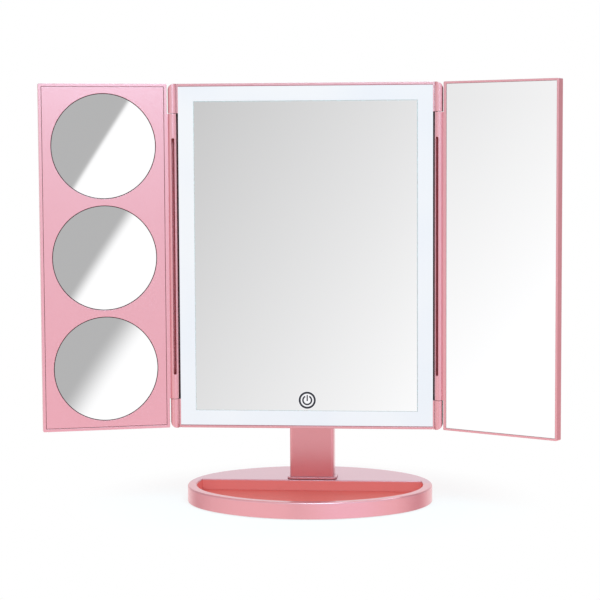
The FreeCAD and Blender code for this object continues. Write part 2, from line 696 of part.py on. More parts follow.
def make_neck():
    """Two shells on a foot with a plug-in tongue, a stiffener and the block that holds the tilt shaft."""
    front = neck_shell("neck_front_shell", (NECK_JOIN, NECK_BACK))
    rear = neck_shell("neck_rear_shell", ("neck_front", NECK_JOIN))
    for k, level in enumerate(NECK_SCREW_LEVELS, start=1):
        disc(front, f"boss_{k}", "Y", 0, level, ("neck_front + neck_wall", NECK_JOIN), "neck_boss_radius")
        disc(front, f"boss_hole_{k}", "Y", 0, level, ("neck_front + neck_wall + 1", NECK_JOIN),
             "neck_screw_radius + 0.05", cut=True)
        disc(rear, f"screw_hole_{k}", "Y", 0, level, (NECK_JOIN, NECK_BACK), "neck_screw_radius + 0.2", cut=True)
        disc(rear, f"screw_recess_{k}", "Y", 0, level, (f"{NECK_BACK} - 1", NECK_BACK),
             "neck_screw_head_radius + 0.2", cut=True)

    foot = new_body("neck_foot")
    block(foot, "flange", (f"-({HALF_NECK}) - foot_overhang", f"{HALF_NECK} + foot_overhang"),
          ("neck_front - foot_overhang", f"{NECK_BACK} + foot_overhang"), ("foot_under", "foot_top"))
    round_edges(foot, "flange_corners", "foot_round", lambda edge, shape: is_upright(edge))
    round_edges(foot, "flange_lip", "foot_lip_round", at_top)
    block(foot, "tongue", ("-tongue_width / 2", "tongue_width / 2"),
          ("neck_middle - tongue_depth / 2", "neck_middle + tongue_depth / 2"),
          ("foot_under - tongue_length", "foot_under"))
    block(foot, "spigot", (f"-({INNER_HALF}) + 0.2", f"{INNER_HALF} - 0.2"),
          ("neck_front + neck_wall + 0.2", f"{NECK_BACK} - neck_wall - 0.2"), ("foot_top", "foot_top + 6"))

    stiffener = new_body("neck_stiffener")
    block(stiffener, "strip", ("-2 * stiffener_width", "-stiffener_width"),
          (f"{NECK_JOIN} - stiffener_thickness", NECK_JOIN), ("foot_top + 6", "tilt_level - hinge_block_height"))
    holder = new_body("tilt_hinge_block")
    block(holder, "block", (f"-({INNER_HALF}) + 0.2", f"{INNER_HALF} - 0.2"),
          ("neck_front + neck_wall + 0.2", f"{NECK_BACK} - neck_wall - 0.2"),
          ("tilt_level - hinge_block_height", "tilt_level"))
    disc(holder, "round_top", "X", "neck_middle", "tilt_level",
         (f"-({INNER_HALF}) + 0.2", f"{INNER_HALF} - 0.2"), f"{INNER_RADIUS} - 0.2")
    disc(holder, "bore", "X", "neck_middle", "tilt_level", (f"-({INNER_HALF}) + 0.2", f"{INNER_HALF} - 0.2"),
         "tilt_shaft_radius + tilt_running_gap", cut=True)

    screws = []
    for k, level in enumerate(NECK_SCREW_LEVELS, start=1):
        screws.append(screw(f"neck_screw_{k}", "Y", f"{NECK_BACK} - 0.1", -1, 0, 0, level, "neck_screw_radius",
                            "neck_screw_head_radius", "neck_screw_head_height", "neck_depth - neck_wall - 3"))
    group("neck_screws", screws)


# ---------------------------------------------------------------------------------------------------------
# Tilt hinge on the head
# ---------------------------------------------------------------------------------------------------------
EAR_INSIDE = "neck_width / 2 + washer_thickness"
EAR_OUTSIDE = "neck_width / 2 + washer_thickness + bracket_thickness"
BRACKET_SCREWS = [(side, f"{up} * bracket_screw_row") for side in (-1, 1) for up in (1, -1)]


def make_tilt_hinge():
    """Steel bracket on the head's back, shaft through the neck's knuckle, washers, nut and screws."""
    bracket = head_body("tilt_bracket")
    for tag, side in (("left", -1), ("right", 1)):
        near_x, far_x = (EAR_INSIDE, EAR_OUTSIDE) if side > 0 else (f"-({EAR_OUTSIDE})", f"-({EAR_INSIDE})")
        block(bracket, f"arm_{tag}", (near_x, far_x), ("bulge_back", "tilt_setback"),
              ("-tilt_drop - tilt_radius", "-tilt_drop + tilt_radius"))
        disc(bracket, f"eye_{tag}", "X", "tilt_setback", "-tilt_drop", (near_x, far_x), "tilt_radius")
    block(bracket, "plate", (f"-({EAR_OUTSIDE}) - bracket_flange", f"{EAR_OUTSIDE} + bracket_flange"),
          ("bulge_back", "bulge_back + bracket_thickness"),
          ("-tilt_drop - bracket_length / 2", "-tilt_drop + bracket_length / 2"))
    disc(bracket, "shaft_hole", "X", "tilt_setback", "-tilt_drop", (f"-({EAR_OUTSIDE})", EAR_OUTSIDE),
         "tilt_shaft_radius + 0.02", cut=True)
    screws = []
    for k, (side, level) in enumerate(BRACKET_SCREWS, start=1):
        x = f"{side} * ({EAR_OUTSIDE} + bracket_flange / 2)"
        disc(bracket, f"screw_hole_{k}", "Y", x, f"-tilt_drop + {level}",
             ("bulge_back", "bulge_back + bracket_thickness"), "bracket_screw_radius + 0.2", cut=True)
        head_back = "bulge_back + bracket_thickness + bracket_screw_head_height - head_front"
        screws.append(screw(f"bracket_screw_{k}", "Y", head_back, -1, x, 0, f"panel_middle - tilt_drop + {level}",
                            "bracket_screw_radius", "bracket_screw_head_radius", "bracket_screw_head_height",
                            "bracket_screw_length"))
    group("bracket_screws", screws)

    y, z = "neck_middle", "tilt_level"
    reach = f"{EAR_OUTSIDE} + 0.1"
    shank = rod("tilt_shaft_shank", "X", f"-({reach})", y, z, "tilt_shaft_radius", f"2 * ({reach}) + 5")
    head = rod("tilt_shaft_head", "X", f"-({reach}) - shaft_head_length", y, z, "shaft_head_radius",
               "shaft_head_length")
    shaft = joined("tilt_shaft", [shank, head])
    SUBPARTS.append(shaft)

    washers = []
    for k, start in enumerate((f"-({EAR_INSIDE}) + 0.05", "neck_width / 2 + 0.05"), start=1):
        washers.append(rod(f"friction_washer_{k}", "X", start, y, z, "washer_radius", "washer_thickness - 0.1",
                           bore="tilt_shaft_radius + 0.1"))
    group("friction_washers", washers)

    nut = new_body("tilt_nut")
    sketch = new_sketch(nut, "hexagon", "X", "neck_middle", "tilt_level", reach)
    corners = [Vector(5 * math.cos(math.pi * k / 3), 5 * math.sin(math.pi * k / 3)) for k in range(6)]
    for k in range(6):
        sketch.addGeometry(Part.LineSegment(corners[k], corners[(k + 1) % 6]), False)
    sketch.addGeometry(Part.Circle(Vector(0, 0, 0), Vector(0, 0, 1), 5), True)
    for k in range(6):
        sketch.addConstraint(Sketcher.Constraint("Coincident", k, 2, (k + 1) % 6, 1))
        sketch.addConstraint(Sketcher.Constraint("PointOnObject", k, 1, 6))
    for k in range(5):
        sketch.addConstraint(Sketcher.Constraint("Equal", k, k + 1))
    sketch.addConstraint(Sketcher.Constraint("Coincident", 6, 3, -1, 1))
    sketch.addConstraint(Sketcher.Constraint("PointOnObject", 0, 1, -1))
    constrain(sketch, "shaft_head_radius + 0.3", "Radius", 6, 5.0)
    extrude(nut, sketch, "prism", "X", "nut_height", False)
    disc(nut, "thread", "X", "neck_middle", "tilt_level", (reach, f"{reach} + nut_height"),
         "tilt_shaft_radius + 0.02", cut=True)


# ---------------------------------------------------------------------------------------------------------
# Head: frame, light and centre mirror
# ---------------------------------------------------------------------------------------------------------
HEAD_SCREWS = [(side, f"{up} * head_screw_row") for side in (-1, 1) for up in (1, -1)]
HEAD_SCREW_X = "panel_width / 2 - head_screw_inset"


def make_front_frame():
    """Ring round the light panel: lips above and below it, hinge ears at its four corners."""
    body = head_body("head_front_frame")
    block(body, "outside", ("-panel_width / 2", "panel_width / 2"), (0, "frame_depth"),
          ("-panel_height / 2", "panel_height / 2"))
    round_edges(body, "corner_rounding", "frame_corner",
                lambda edge, shape: near(edge.BoundBox.XLength, 0) and near(edge.BoundBox.ZLength, 0))
    block(body, "opening", ("-inner_width / 2", "inner_width / 2"), (0, "frame_depth"),
          ("-inner_height / 2", "inner_height / 2"), cut=True)
    for tag, side in (("left", -1), ("right", 1)):
        outer = f"{side} * panel_width / 2"
        inner = f"{side} * inner_width / 2"
        pair = (outer, inner) if side < 0 else (inner, outer)
        block(body, f"side_step_{tag}", pair, (0, "diffuser_thickness"),
              ("-inner_height / 2", "inner_height / 2"), cut=True)
        for end, up in (("top", 1), ("bottom", -1)):
            low, high = ("ear_bottom", "panel_height / 2") if up > 0 else ("-panel_height / 2", "-ear_bottom")
            axis_x = f"{side} * (hinge_x)"
            arm = (axis_x, f"{side} * panel_width / 2")
            arm = arm if side < 0 else arm[::-1]
            tip_x = f"{side} * (hinge_x + barrel_radius)"
            block(body, f"ear_arm_{tag}_{end}", arm, (0, "ear_arm_depth"), (low, high))
            disc(body, f"ear_{tag}_{end}", "Z", axis_x, "-closing_gap", (low, high), "barrel_radius")
            corner_cut(body, f"ear_corner_{tag}_{end}", tip_x, f"{up} * panel_height / 2",
                       ("-barrel_radius - closing_gap - 1", "ear_arm_depth + 1"), "ear_corner", side, up)
            pin_start = f"{up} * ear_bottom"
            pin_end = f"{up} * (ear_bottom + pin_length / 2 + 1)"
            disc(body, f"pin_hole_{tag}_{end}", "Z", axis_x, "-closing_gap",
                 (pin_start, pin_end) if up > 0 else (pin_end, pin_start), "pin_radius + 0.02", cut=True)
    for k, (side, level) in enumerate(HEAD_SCREWS, start=1):
        wall = (f"{side} * (inner_width / 2 + 0.2)", f"{side} * ({HEAD_SCREW_X} - head_boss_radius)")
        wall = wall if side < 0 else wall[::-1]
        block(body, f"screw_lug_{k}", wall, ("backing_depth + backing_thickness + 0.3", "frame_depth"),
              (f"{level} - head_boss_radius", f"{level} + head_boss_radius"))
        disc(body, f"screw_hole_{k}", "Y", f"{side} * ({HEAD_SCREW_X})", level,
             ("backing_depth + backing_thickness + 0.3", "frame_depth"), "head_screw_radius + 0.05", cut=True)


def make_rear_housing():
    """Back tray, wide enough to close the hinge gaps behind, and the battery housing let into it."""
    back = head_body("head_rear_housing")
    reach = "(hinge_x + housing_overlap)"
    block(back, "slab", (f"-{reach}", reach), ("frame_depth", "head_depth"),
          ("-panel_height / 2", "panel_height / 2"))
    round_edges(back, "outline_rounding", "housing_corner",
                lambda edge, shape: near(edge.BoundBox.XLength, 0) and near(edge.BoundBox.ZLength, 0))

    def rear_rim(edge, shape):
        return near(edge.BoundBox.YMin, shape.BoundBox.YMax) and near(edge.BoundBox.YLength, 0)

    round_edges(back, "back_rounding", "housing_round", rear_rim)
    block(back, "hollow", ("-inner_width / 2", "inner_width / 2"),
          ("frame_depth", "head_depth - housing_wall"), ("-inner_height / 2", "inner_height / 2"), cut=True)
    for tag, side in (("left", -1), ("right", 1)):
        span = (f"{side} * (panel_width / 2)", f"{side} * {reach}")
        block(back, f"hinge_cover_{tag}", span if side > 0 else span[::-1],
              ("ear_arm_depth", "frame_depth + 0.1"), ("-ear_bottom", "ear_bottom"))
    inset = "(housing_wall + 0.2)"
    block(back, "battery_opening", (f"-bulge_width / 2 + {inset}", f"bulge_width / 2 - {inset}"),
          ("head_depth - housing_wall", "head_depth"),
          (f"-bulge_bottom + {inset}", f"bulge_top - {inset}"), cut=True)
    for k, (side, level) in enumerate(HEAD_SCREWS, start=1):
        x = f"{side} * ({HEAD_SCREW_X})"
        disc(back, f"screw_boss_{k}", "Y", x, level, ("frame_depth", "head_depth - housing_wall + 0.1"),
             "head_boss_radius")
        disc(back, f"screw_hole_{k}", "Y", x, level, ("frame_depth", "head_depth"), "head_screw_radius + 0.2",
             cut=True)
        disc(back, f"screw_recess_{k}", "Y", x, level, ("head_depth - head_screw_head_height - 0.1", "head_depth"),
             "head_screw_head_radius + 0.2", cut=True)

    body = head_body("battery_housing")
    block(body, "bulge", ("-bulge_width / 2", "bulge_width / 2"), ("head_depth", "bulge_back"),
          ("-bulge_bottom", "bulge_top"))

    def bulge_edge(edge, shape):
        on_back = near(edge.BoundBox.YMin, shape.BoundBox.YMax) and near(edge.BoundBox.YLength, 0)
        return on_back or (near(edge.BoundBox.XLength, 0) and near(edge.BoundBox.ZLength, 0))

    round_edges(body, "bulge_rounding", "bulge_round", bulge_edge)
    lip = "(housing_wall + 0.4)"
    block(body, "locating_lip", (f"-bulge_width / 2 + {lip}", f"bulge_width / 2 - {lip}"),
          ("head_depth - housing_wall", "head_depth + 0.1"), (f"-bulge_bottom + {lip}", f"bulge_top - {lip}"))
    inside = "2 * housing_wall"
    block(body, "bulge_hollow", (f"-bulge_width / 2 + {inside}", f"bulge_width / 2 - {inside}"),
          ("head_depth - housing_wall", "bulge_back - housing_wall"),
          (f"-bulge_bottom + {inside}", f"bulge_top - {inside}"), cut=True)
    block(body, "door_opening", ("-door_width / 2", "door_width / 2"), ("bulge_back - housing_wall", "bulge_back"),
          ("cell_row_height - door_height / 2", "cell_row_height + door_height / 2"), cut=True)
    for k, (side, level) in enumerate(BRACKET_SCREWS, start=1):
        x = f"{side} * ({EAR_OUTSIDE} + bracket_flange / 2)"
        disc(body, f"bracket_boss_{k}", "Y", x, f"-tilt_drop + {level}",
             ("bulge_back - housing_wall - bracket_boss_length", "bulge_back - housing_wall + 0.1"),
             "bracket_boss_radius")
        disc(body, f"bracket_hole_{k}", "Y", x, f"-tilt_drop + {level}",
             ("bulge_back - bracket_screw_length - 0.5", "bulge_back"), "bracket_screw_radius + 0.05", cut=True)
    block(body, "usb_opening", ("usb_side - usb_width / 2", "usb_side + usb_width / 2"),
          ("bulge_back - 8 - usb_height / 2", "bulge_back - 8 + usb_height / 2"),
          ("-bulge_bottom", f"-bulge_bottom + {inside}"), cut=True)


def make_light_and_mirror():
    """Frosted light ring, centre mirror, its pad, the backing plate, LED boards and LEDs."""
    ring = head_body("light_diffuser")
    block(ring, "panel", ("-panel_width / 2", "panel_width / 2"), (0, "diffuser_thickness"),
          ("-inner_height / 2", "inner_height / 2"))
    block(ring, "mirror_opening", ("-mirror_width / 2 - mirror_gap", "mirror_width / 2 + mirror_gap"),
          (0, "diffuser_thickness"), ("-mirror_height / 2 - mirror_gap", "mirror_height / 2 + mirror_gap"),
          cut=True)
    glass = head_body("main_mirror")
    block(glass, "glass", ("-mirror_width / 2", "mirror_width / 2"),
          ("mirror_setback", "mirror_setback + mirror_thickness"), ("-mirror_height / 2", "mirror_height / 2"))
    pad = head_body("mirror_mounting_pad")
    block(pad, "foam", ("-mirror_width / 2 + foam_margin", "mirror_width / 2 - foam_margin"),
          ("mirror_setback + mirror_thickness", "backing_depth"),
          ("-touch_drop + touch_radius + foam_margin", "mirror_height / 2 - foam_margin"))
    sensor = head_body("touch_sensor")
    disc(sensor, "disc", "Y", 0, "-touch_drop", ("mirror_setback + mirror_thickness", "backing_depth - 0.3"),
         "touch_radius")
    plate = head_body("light_backing_plate")
    block(plate, "plate", ("-inner_width / 2 + backing_gap", "inner_width / 2 - backing_gap"),
          ("backing_depth", "backing_depth + backing_thickness"),
          ("-inner_height / 2 + backing_gap", "inner_height / 2 - backing_gap"))

    board_depth = ("backing_depth - led_board_thickness - head_front", "backing_depth - head_front")
    chip_depth = ("backing_depth - led_board_thickness - led_height - head_front",
                  "backing_depth - led_board_thickness - head_front")
    boards, chips = [], []
    for tag, side in (("left", -1), ("right", 1)):
        middle = f"{side} * (panel_width / 2 - light_band / 2 - 0.5)"
        across = (f"{middle} - led_board_width / 2", f"{middle} + led_board_width / 2")
        upward = ("panel_middle - inner_height / 2 + 1", "panel_middle + inner_height / 2 - 1")
        boards.append(bar(f"led_board_{tag}", across, board_depth, upward))
        for k in range(-6, 7):
            level = f"panel_middle + {k} * led_side_pitch"
            chips.append(bar(f"led_{tag}_{k + 7}", (f"{middle} - led_size / 2", f"{middle} + led_size / 2"),
                             chip_depth, (f"{level} - led_size / 2", f"{level} + led_size / 2")))
    for tag, up in (("bottom", -1), ("top", 1)):
        middle = f"panel_middle + {up} * (inner_height / 2 - light_band / 2)"
        boards.append(bar(f"led_board_{tag}", ("-mirror_width / 2 + 2", "mirror_width / 2 - 2"), board_depth,
                          (f"{middle} - led_board_width / 2", f"{middle} + led_board_width / 2")))
        for k in range(-4, 5):
            across = (f"{k} * led_row_pitch - led_size / 2", f"{k} * led_row_pitch + led_size / 2")
            chips.append(bar(f"led_{tag}_{k + 5}", across, chip_depth,
                             (f"{middle} - led_size / 2", f"{middle} + led_size / 2")))
    group("led_boards", boards)
    group("led_chips", chips)


CELL_ROWS = (("upper", 1), ("lower", -1))
CELL_COLUMNS = (("left", -1), ("right", 1))


def make_power():
    """Battery tray with four cells and their contacts, the door, the control board and the USB socket."""
    tray = head_body("battery_tray")
    half_length = "cell_length + spring_length + 2 * contact_thickness + 0.8"
    half_height = "cell_pitch + 1"
    floor = "cell_depth - cell_radius - 0.3"
    flange_face = "bulge_back - housing_wall - 0.3"
    block(tray, "box", (f"-({half_length}) - 1", f"{half_length} + 1"), (f"{floor} - 1.2", flange_face),
          (f"cell_row_height - ({half_height})", f"cell_row_height + {half_height}"))
    block(tray, "flange", ("-door_width / 2 - 1.5", "door_width / 2 + 1.5"), (f"{flange_face} - 1.5", flange_face),
          ("cell_row_height - door_height / 2 - 1.5", "cell_row_height + door_height / 2 + 1.5"))
    for tag, side in CELL_COLUMNS:
        pair = ("0.6", half_length) if side > 0 else (f"-({half_length})", "-0.6")
        block(tray, f"well_{tag}", pair, (floor, flange_face),
              (f"cell_row_height - ({half_height}) + 1", f"cell_row_height + {half_height} - 1"), cut=True)

    cells, contacts, springs = [], [], []
    y = "cell_depth - head_front"
    for column, side in CELL_COLUMNS:
        for row, up in CELL_ROWS:
            z = f"panel_middle + cell_row_height + {up} * cell_pitch / 2"
            flip = side * up
            near_end = "0.6 + contact_thickness + 0.05"
            far_end = f"{half_length} - contact_thickness - 0.05"
            spring_at_near = flip > 0
            body_start = f"{near_end} + " + ("spring_length" if spring_at_near else "cell_cap_length")
            body_length = "(cell_length - cell_cap_length)"
            x = body_start if side > 0 else f"-({body_start}) - {body_length}"
            cap_last = spring_at_near == (side > 0)
            knob = f"{x} + {body_length}" if cap_last else f"{x} - cell_cap_length"
            can = rod(f"cell_can_{column}_{row}", "X", x, y, z, "cell_radius", body_length)
            cap = rod(f"cell_cap_{column}_{row}", "X", knob, y, z, "cell_cap_radius", "cell_cap_length")
            cells.append(joined(f"cell_{column}_{row}", [can, cap]))
            for end, start in (("near", "0.6"), ("far", f"{half_length} - contact_thickness")):
                low = start if side > 0 else f"-({start}) - contact_thickness"
                contacts.append(bar(f"contact_{column}_{row}_{end}", (low, f"{low} + contact_thickness"),
                                    (f"{y} - contact_width / 2", f"{y} + contact_width / 2"),
                                    (f"{z} - contact_width / 2", f"{z} + contact_width / 2")))
            start = near_end if spring_at_near else f"{near_end} + cell_length + 0.05"
            low = start if side > 0 else f"-({start}) - (spring_length - 0.1)"
            springs.append(rod(f"spring_{column}_{row}", "X", low, y, z, "spring_radius", "spring_length - 0.1",
                               bore="spring_radius - spring_wire"))
    group("battery_cells", cells)
    group("battery_contacts", contacts)
    group("battery_springs", springs)

    door = head_body("battery_door")
    block(door, "panel", ("-door_width / 2 + door_gap", "door_width / 2 - door_gap"),
          ("bulge_back - door_thickness", "bulge_back"),
          ("cell_row_height - door_height / 2 + door_gap", "cell_row_height + door_height / 2 - door_gap"))
    grip_top = "(cell_row_height + door_height / 2 - 3)"
    block(door, "grip", ("-grip_width / 2", "grip_width / 2"), ("bulge_back - grip_depth", "bulge_back"),
          (f"{grip_top} - grip_height", grip_top), cut=True)
    for k in (1, 2, 3):
        level = f"{grip_top} - {k} * grip_height / 4"
        block(door, f"grip_rib_{k}", ("-grip_width / 2 + 2", "grip_width / 2 - 2"),
              ("bulge_back - grip_depth - 0.1", "bulge_back"),
              (f"{level} - grip_rib / 2", f"{level} + grip_rib / 2"))

    board = head_body("control_board")
    block(board, "board", ("-control_board_width / 2", "control_board_width / 2"),
          ("backing_depth + backing_thickness + 0.3", "backing_depth + backing_thickness + 0.3 + board_thickness"),
          ("-control_board_drop - control_board_height / 2", "-control_board_drop + control_board_height / 2"))
    socket = head_body("usb_socket")
    block(socket, "shell", ("usb_side - usb_width / 2 + 0.1", "usb_side + usb_width / 2 - 0.1"),
          ("bulge_back - 8 - usb_height / 2 + 0.1", "bulge_back - 8 + usb_height / 2 - 0.1"),
          ("-bulge_bottom + 0.3", "-bulge_bottom + usb_length"))
    block(socket, "mouth", ("usb_side - usb_width / 2 + 0.6", "usb_side + usb_width / 2 - 0.6"),
          ("bulge_back - 8 - usb_height / 2 + 0.6", "bulge_back - 8 + usb_height / 2 - 0.6"),
          ("-bulge_bottom + 0.3", "-bulge_bottom + usb_length - 1"), cut=True)

    screws = []
    for k, (side, level) in enumerate(HEAD_SCREWS, start=1):
        screws.append(screw(f"head_screw_{k}", "Y", "head_depth - 0.1 - head_front", -1,
                            f"{side} * ({HEAD_SCREW_X})", 0, f"panel_middle + {level}", "head_screw_radius",
                            "head_screw_head_radius", "head_screw_head_height", "head_screw_length"))
    group("head_screws", screws)


# ---------------------------------------------------------------------------------------------------------
# Wings and their hinges
# ---------------------------------------------------------------------------------------------------------
def wing_span(side, inner, outer):
    """A pair of planes of a wing between two distances from its hinge axis."""
    return (inner, outer) if side > 0 else (f"-({outer})", f"-({inner})")


def wing_frame(label, side, root_rim, rim):
    """Shallow tray of a wing with its hinge barrel: slotted, bored for the bushes, tied to the root side."""
    body = wing_body(label, side)
    half = "panel_height / 2"
    block(body, "outside", wing_span(side, "wing_root", "wing_end"), (0, "wing_depth"), (f"-{half}", half))
    round_edges(body, "corner_rounding", "wing_corner",
                lambda edge, shape: near(edge.BoundBox.XLength, 0) and near(edge.BoundBox.ZLength, 0))

    def rear_rim(edge, shape):
        return near(edge.BoundBox.YMin, shape.BoundBox.YMax) and near(edge.BoundBox.YLength, 0)

    round_edges(body, "back_rounding", "wing_corner", rear_rim)
    block(body, "recess", wing_span(side, f"wing_root + {root_rim}", f"wing_end - {rim}"),
          (0, "wing_depth - wing_back"), (f"-{half} + {rim}", f"{half} - {rim}"), cut=True)
    block(body, "web", wing_span(side, 0, "wing_root + 0.1"), (0, "barrel_radius"), ("-barrel_half", "barrel_half"))
    disc(body, "barrel", "Z", 0, 0, ("-barrel_half", "barrel_half"), "barrel_radius")
    slot(body, "barrel_slot", 0, 0, ("-barrel_radius", "barrel_slot_depth - barrel_radius"),
         "barrel_slot_length", "barrel_slot_width")
    for tag, span in (("top", ("barrel_half - bush_length", "barrel_half")),
                      ("bottom", ("-barrel_half", "-barrel_half + bush_length"))):
        disc(body, f"bush_seat_{tag}", "Z", 0, 0, span, "bush_radius", cut=True)
    for tag, span in (("top", ("ear_bottom - pin_length / 2 - 1", "barrel_half")),
                      ("bottom", ("-barrel_half", "-ear_bottom + pin_length / 2 + 1"))):
        disc(body, f"pin_bore_{tag}", "Z", 0, 0, span, "pin_radius + pin_running_gap", cut=True)
    return body


def hinge_hardware(name, side):
    """The two steel pins of a wing, fixed in the frame's ears, and the bushes that turn on them."""
    x = f"{side} * (hinge_x)"
    turned = []
    pins = []
    for tag, up in (("top", 1), ("bottom", -1)):
        middle = f"panel_middle + {up} * ear_bottom"
        pins.append(rod(f"{name}_pin_{tag}", "Z", x, "hinge_y", f"{middle} - pin_length / 2", "pin_radius",
                        "pin_length"))
        start = "barrel_half - bush_length" if up > 0 else "-barrel_half"
        turned.append(rod(f"{name}_bush_{tag}", "Z", x, "hinge_y", f"panel_middle + {start}",
                          "bush_radius - 0.02", "bush_length", bore="pin_radius + pin_running_gap"))
    group(f"{name}_hinge_pins", pins)
    group(f"{name}_hinge_bushes", turned)


def make_right_wing():
    """Right wing: one full-size mirror on an adhesive pad."""
    side = 1
    wing_frame("right_wing_frame", side, "wing_root_rim", "wing_rim")
    level = "wing_mirror_setback + wing_mirror_thickness"
    glass = wing_body("right_wing_mirror", side)
    block(glass, "glass", wing_span(side, "wing_root + wing_root_rim + wing_mirror_gap",
                                    "wing_end - wing_rim - wing_mirror_gap"),
          ("wing_mirror_setback", level),
          ("-panel_height / 2 + wing_rim + wing_mirror_gap", "panel_height / 2 - wing_rim - wing_mirror_gap"))
    pad = wing_body("right_mirror_pad", side)
    near_root, near_end = "wing_root + wing_root_rim + foam_margin", "wing_end - wing_rim - foam_margin"
    block(pad, "foam", wing_span(side, near_root, near_end), (level, "wing_depth - wing_back"),
          ("-panel_height / 2 + wing_rim + foam_margin", "panel_height / 2 - wing_rim - foam_margin"))
    hinge_hardware("right", side)


def hollow_ground(mirror, across, up, curve):
    """Dishes the front of a round mirror to a sphere, so that it magnifies, inside a flat bevel."""
    sphere = mirror.newObject("PartDesign::SubtractiveSphere", "dish")
    centre_ahead = f"sqrt(({curve})^2 - (round_mirror_radius - round_mirror_bevel)^2)"
    bind(sphere, "Radius", curve)
    bind(sphere, "Placement.Base.x", across)
    bind(sphere, "Placement.Base.y", f"round_mirror_setback - {centre_ahead}")
    bind(sphere, "Placement.Base.z", up)
    return sphere


def make_left_wing():
    """Left wing: a face plate with three round mirrors let into it."""
    side = -1
    wing_frame("left_wing_frame", side, "left_rim", "left_rim")
    plate = wing_body("left_face_plate", side)
    block(plate, "plate", wing_span(side, "wing_root + left_rim + plate_gap", "wing_end - left_rim - plate_gap"),
          ("plate_setback", "plate_setback + plate_thickness"),
          ("-panel_height / 2 + left_rim + plate_gap", "panel_height / 2 - left_rim - plate_gap"))
    pads = []
    middle = "-(wing_middle)"
    glass_back = "round_mirror_setback + round_mirror_thickness"
    for tag, up in (("top", 1), ("middle", 0), ("bottom", -1)):
        level = f"{up} * round_mirror_pitch"
        disc(plate, f"seat_{tag}", "Y", middle, level, ("plate_setback", glass_back),
             "round_mirror_radius + round_mirror_gap", cut=True)
        disc(plate, f"opening_{tag}", "Y", middle, level, (glass_back, "plate_setback + plate_thickness"),
             "round_mirror_radius - 3", cut=True)
        mirror = wing_body(f"round_mirror_{tag}", side)
        disc(mirror, "glass", "Y", middle, level, ("round_mirror_setback", glass_back), "round_mirror_radius")
        hollow_ground(mirror, middle, level, f"{tag}_mirror_curve")
        pad = wing_body(f"round_mirror_pad_{tag}", side)
        disc(pad, "foam", "Y", middle, level, (glass_back, "wing_depth - wing_back"), "round_mirror_radius - 6")
    hinge_hardware("left", side)


# ---------------------------------------------------------------------------------------------------------
# Build, check and write the sub-parts
# ---------------------------------------------------------------------------------------------------------
make_base_shell()
make_base_underside()
make_neck()
make_tilt_hinge()
make_front_frame()
make_rear_housing()
make_light_and_mirror()
make_power()
make_right_wing()
make_left_wing()
doc.recompute()

failed = [thing.Name for thing in doc.Objects if "Invalid" in thing.State or "Error" in thing.State]
if failed:
    raise ValueError("failed objects: " + ", ".join(failed))
os.makedirs("parts", exist_ok=True)
for subpart in SUBPARTS:
    shape = subpart.Shape
    if shape.isNull() or not shape.isValid():
        raise ValueError(f"bad shape: {subpart.Label}")
    print(f"{subpart.Label:24s} solids {len(shape.Solids):3d}  faces {len(shape.Faces):4d}  "
          f"volume {shape.Volume:10.1f}")
for subpart in SUBPARTS:
    subpart.Shape.exportStep(f"parts/{subpart.Label}.step")
print(len(SUBPARTS), "sub-parts")
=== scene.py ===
"""Looks of the trifold vanity mirror: materials, printed touch mark, stage, light and camera.

Metres, +Z up. Colours of three numbers are display values from 0 to 255, unless their comment says otherwise,
and those of four are Blender's linear ones.
"""

import json
import math

import bpy
from mathutils import Matrix, Vector


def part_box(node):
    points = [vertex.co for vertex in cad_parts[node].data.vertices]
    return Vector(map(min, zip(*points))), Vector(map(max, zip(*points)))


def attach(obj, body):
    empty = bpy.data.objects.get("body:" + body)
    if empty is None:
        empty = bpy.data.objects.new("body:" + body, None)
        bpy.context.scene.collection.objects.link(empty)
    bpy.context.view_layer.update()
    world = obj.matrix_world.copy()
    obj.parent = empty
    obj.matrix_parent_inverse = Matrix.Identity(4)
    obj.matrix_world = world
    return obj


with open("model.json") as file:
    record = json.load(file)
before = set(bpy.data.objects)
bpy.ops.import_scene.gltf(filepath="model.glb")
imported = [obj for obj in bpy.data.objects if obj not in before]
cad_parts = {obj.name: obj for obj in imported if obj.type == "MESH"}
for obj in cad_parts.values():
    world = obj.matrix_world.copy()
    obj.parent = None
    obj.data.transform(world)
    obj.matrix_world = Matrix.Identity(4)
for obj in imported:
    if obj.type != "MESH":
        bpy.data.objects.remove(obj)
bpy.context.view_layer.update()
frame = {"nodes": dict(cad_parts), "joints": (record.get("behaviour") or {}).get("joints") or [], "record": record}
NODES = frame["nodes"]
MM = 0.001
PURE_WHITE = (1, 1, 1, 1)

# The left wing at rest: how far it is folded forward, and where its face looks
JOINTS = {joint["name"]: joint for joint in frame["joints"]}
WING_ANGLE = math.radians(-JOINTS["left_wing_fold"]["range_deg"][0])
WING_FACING = Vector((math.sin(WING_ANGLE), -math.cos(WING_ANGLE), 0))

# The box of the tray's openings: the inside of the tray, from just above its floor to its brim
OPENINGS = frame["record"]["physics"]["openings"]
TRAY_BOX = [[min(o["box_m"][0][k] for o in OPENINGS) for k in range(3)],
            [max(o["box_m"][1][k] for o in OPENINGS) for k in range(3)]]

# Camera: angles in degrees, lens and sensor in millimetres, and how far it sees
CAMERA_PLACE = (0.127248, -1.477593, 0.281502)
CAMERA_YAW, CAMERA_DOWN, CAMERA_ROLL = 5.2, 4.58, -0.293
CAMERA_LENS, CAMERA_SENSOR = 111, 36
CAMERA_SIGHT = 100

# Light for the paint, and the strength of what the mirrors reflect
ROOM_LIGHT = 0.85
ROOM_COLOUR = (246, 246, 248)
MIRRORED_LIGHT = 1.07

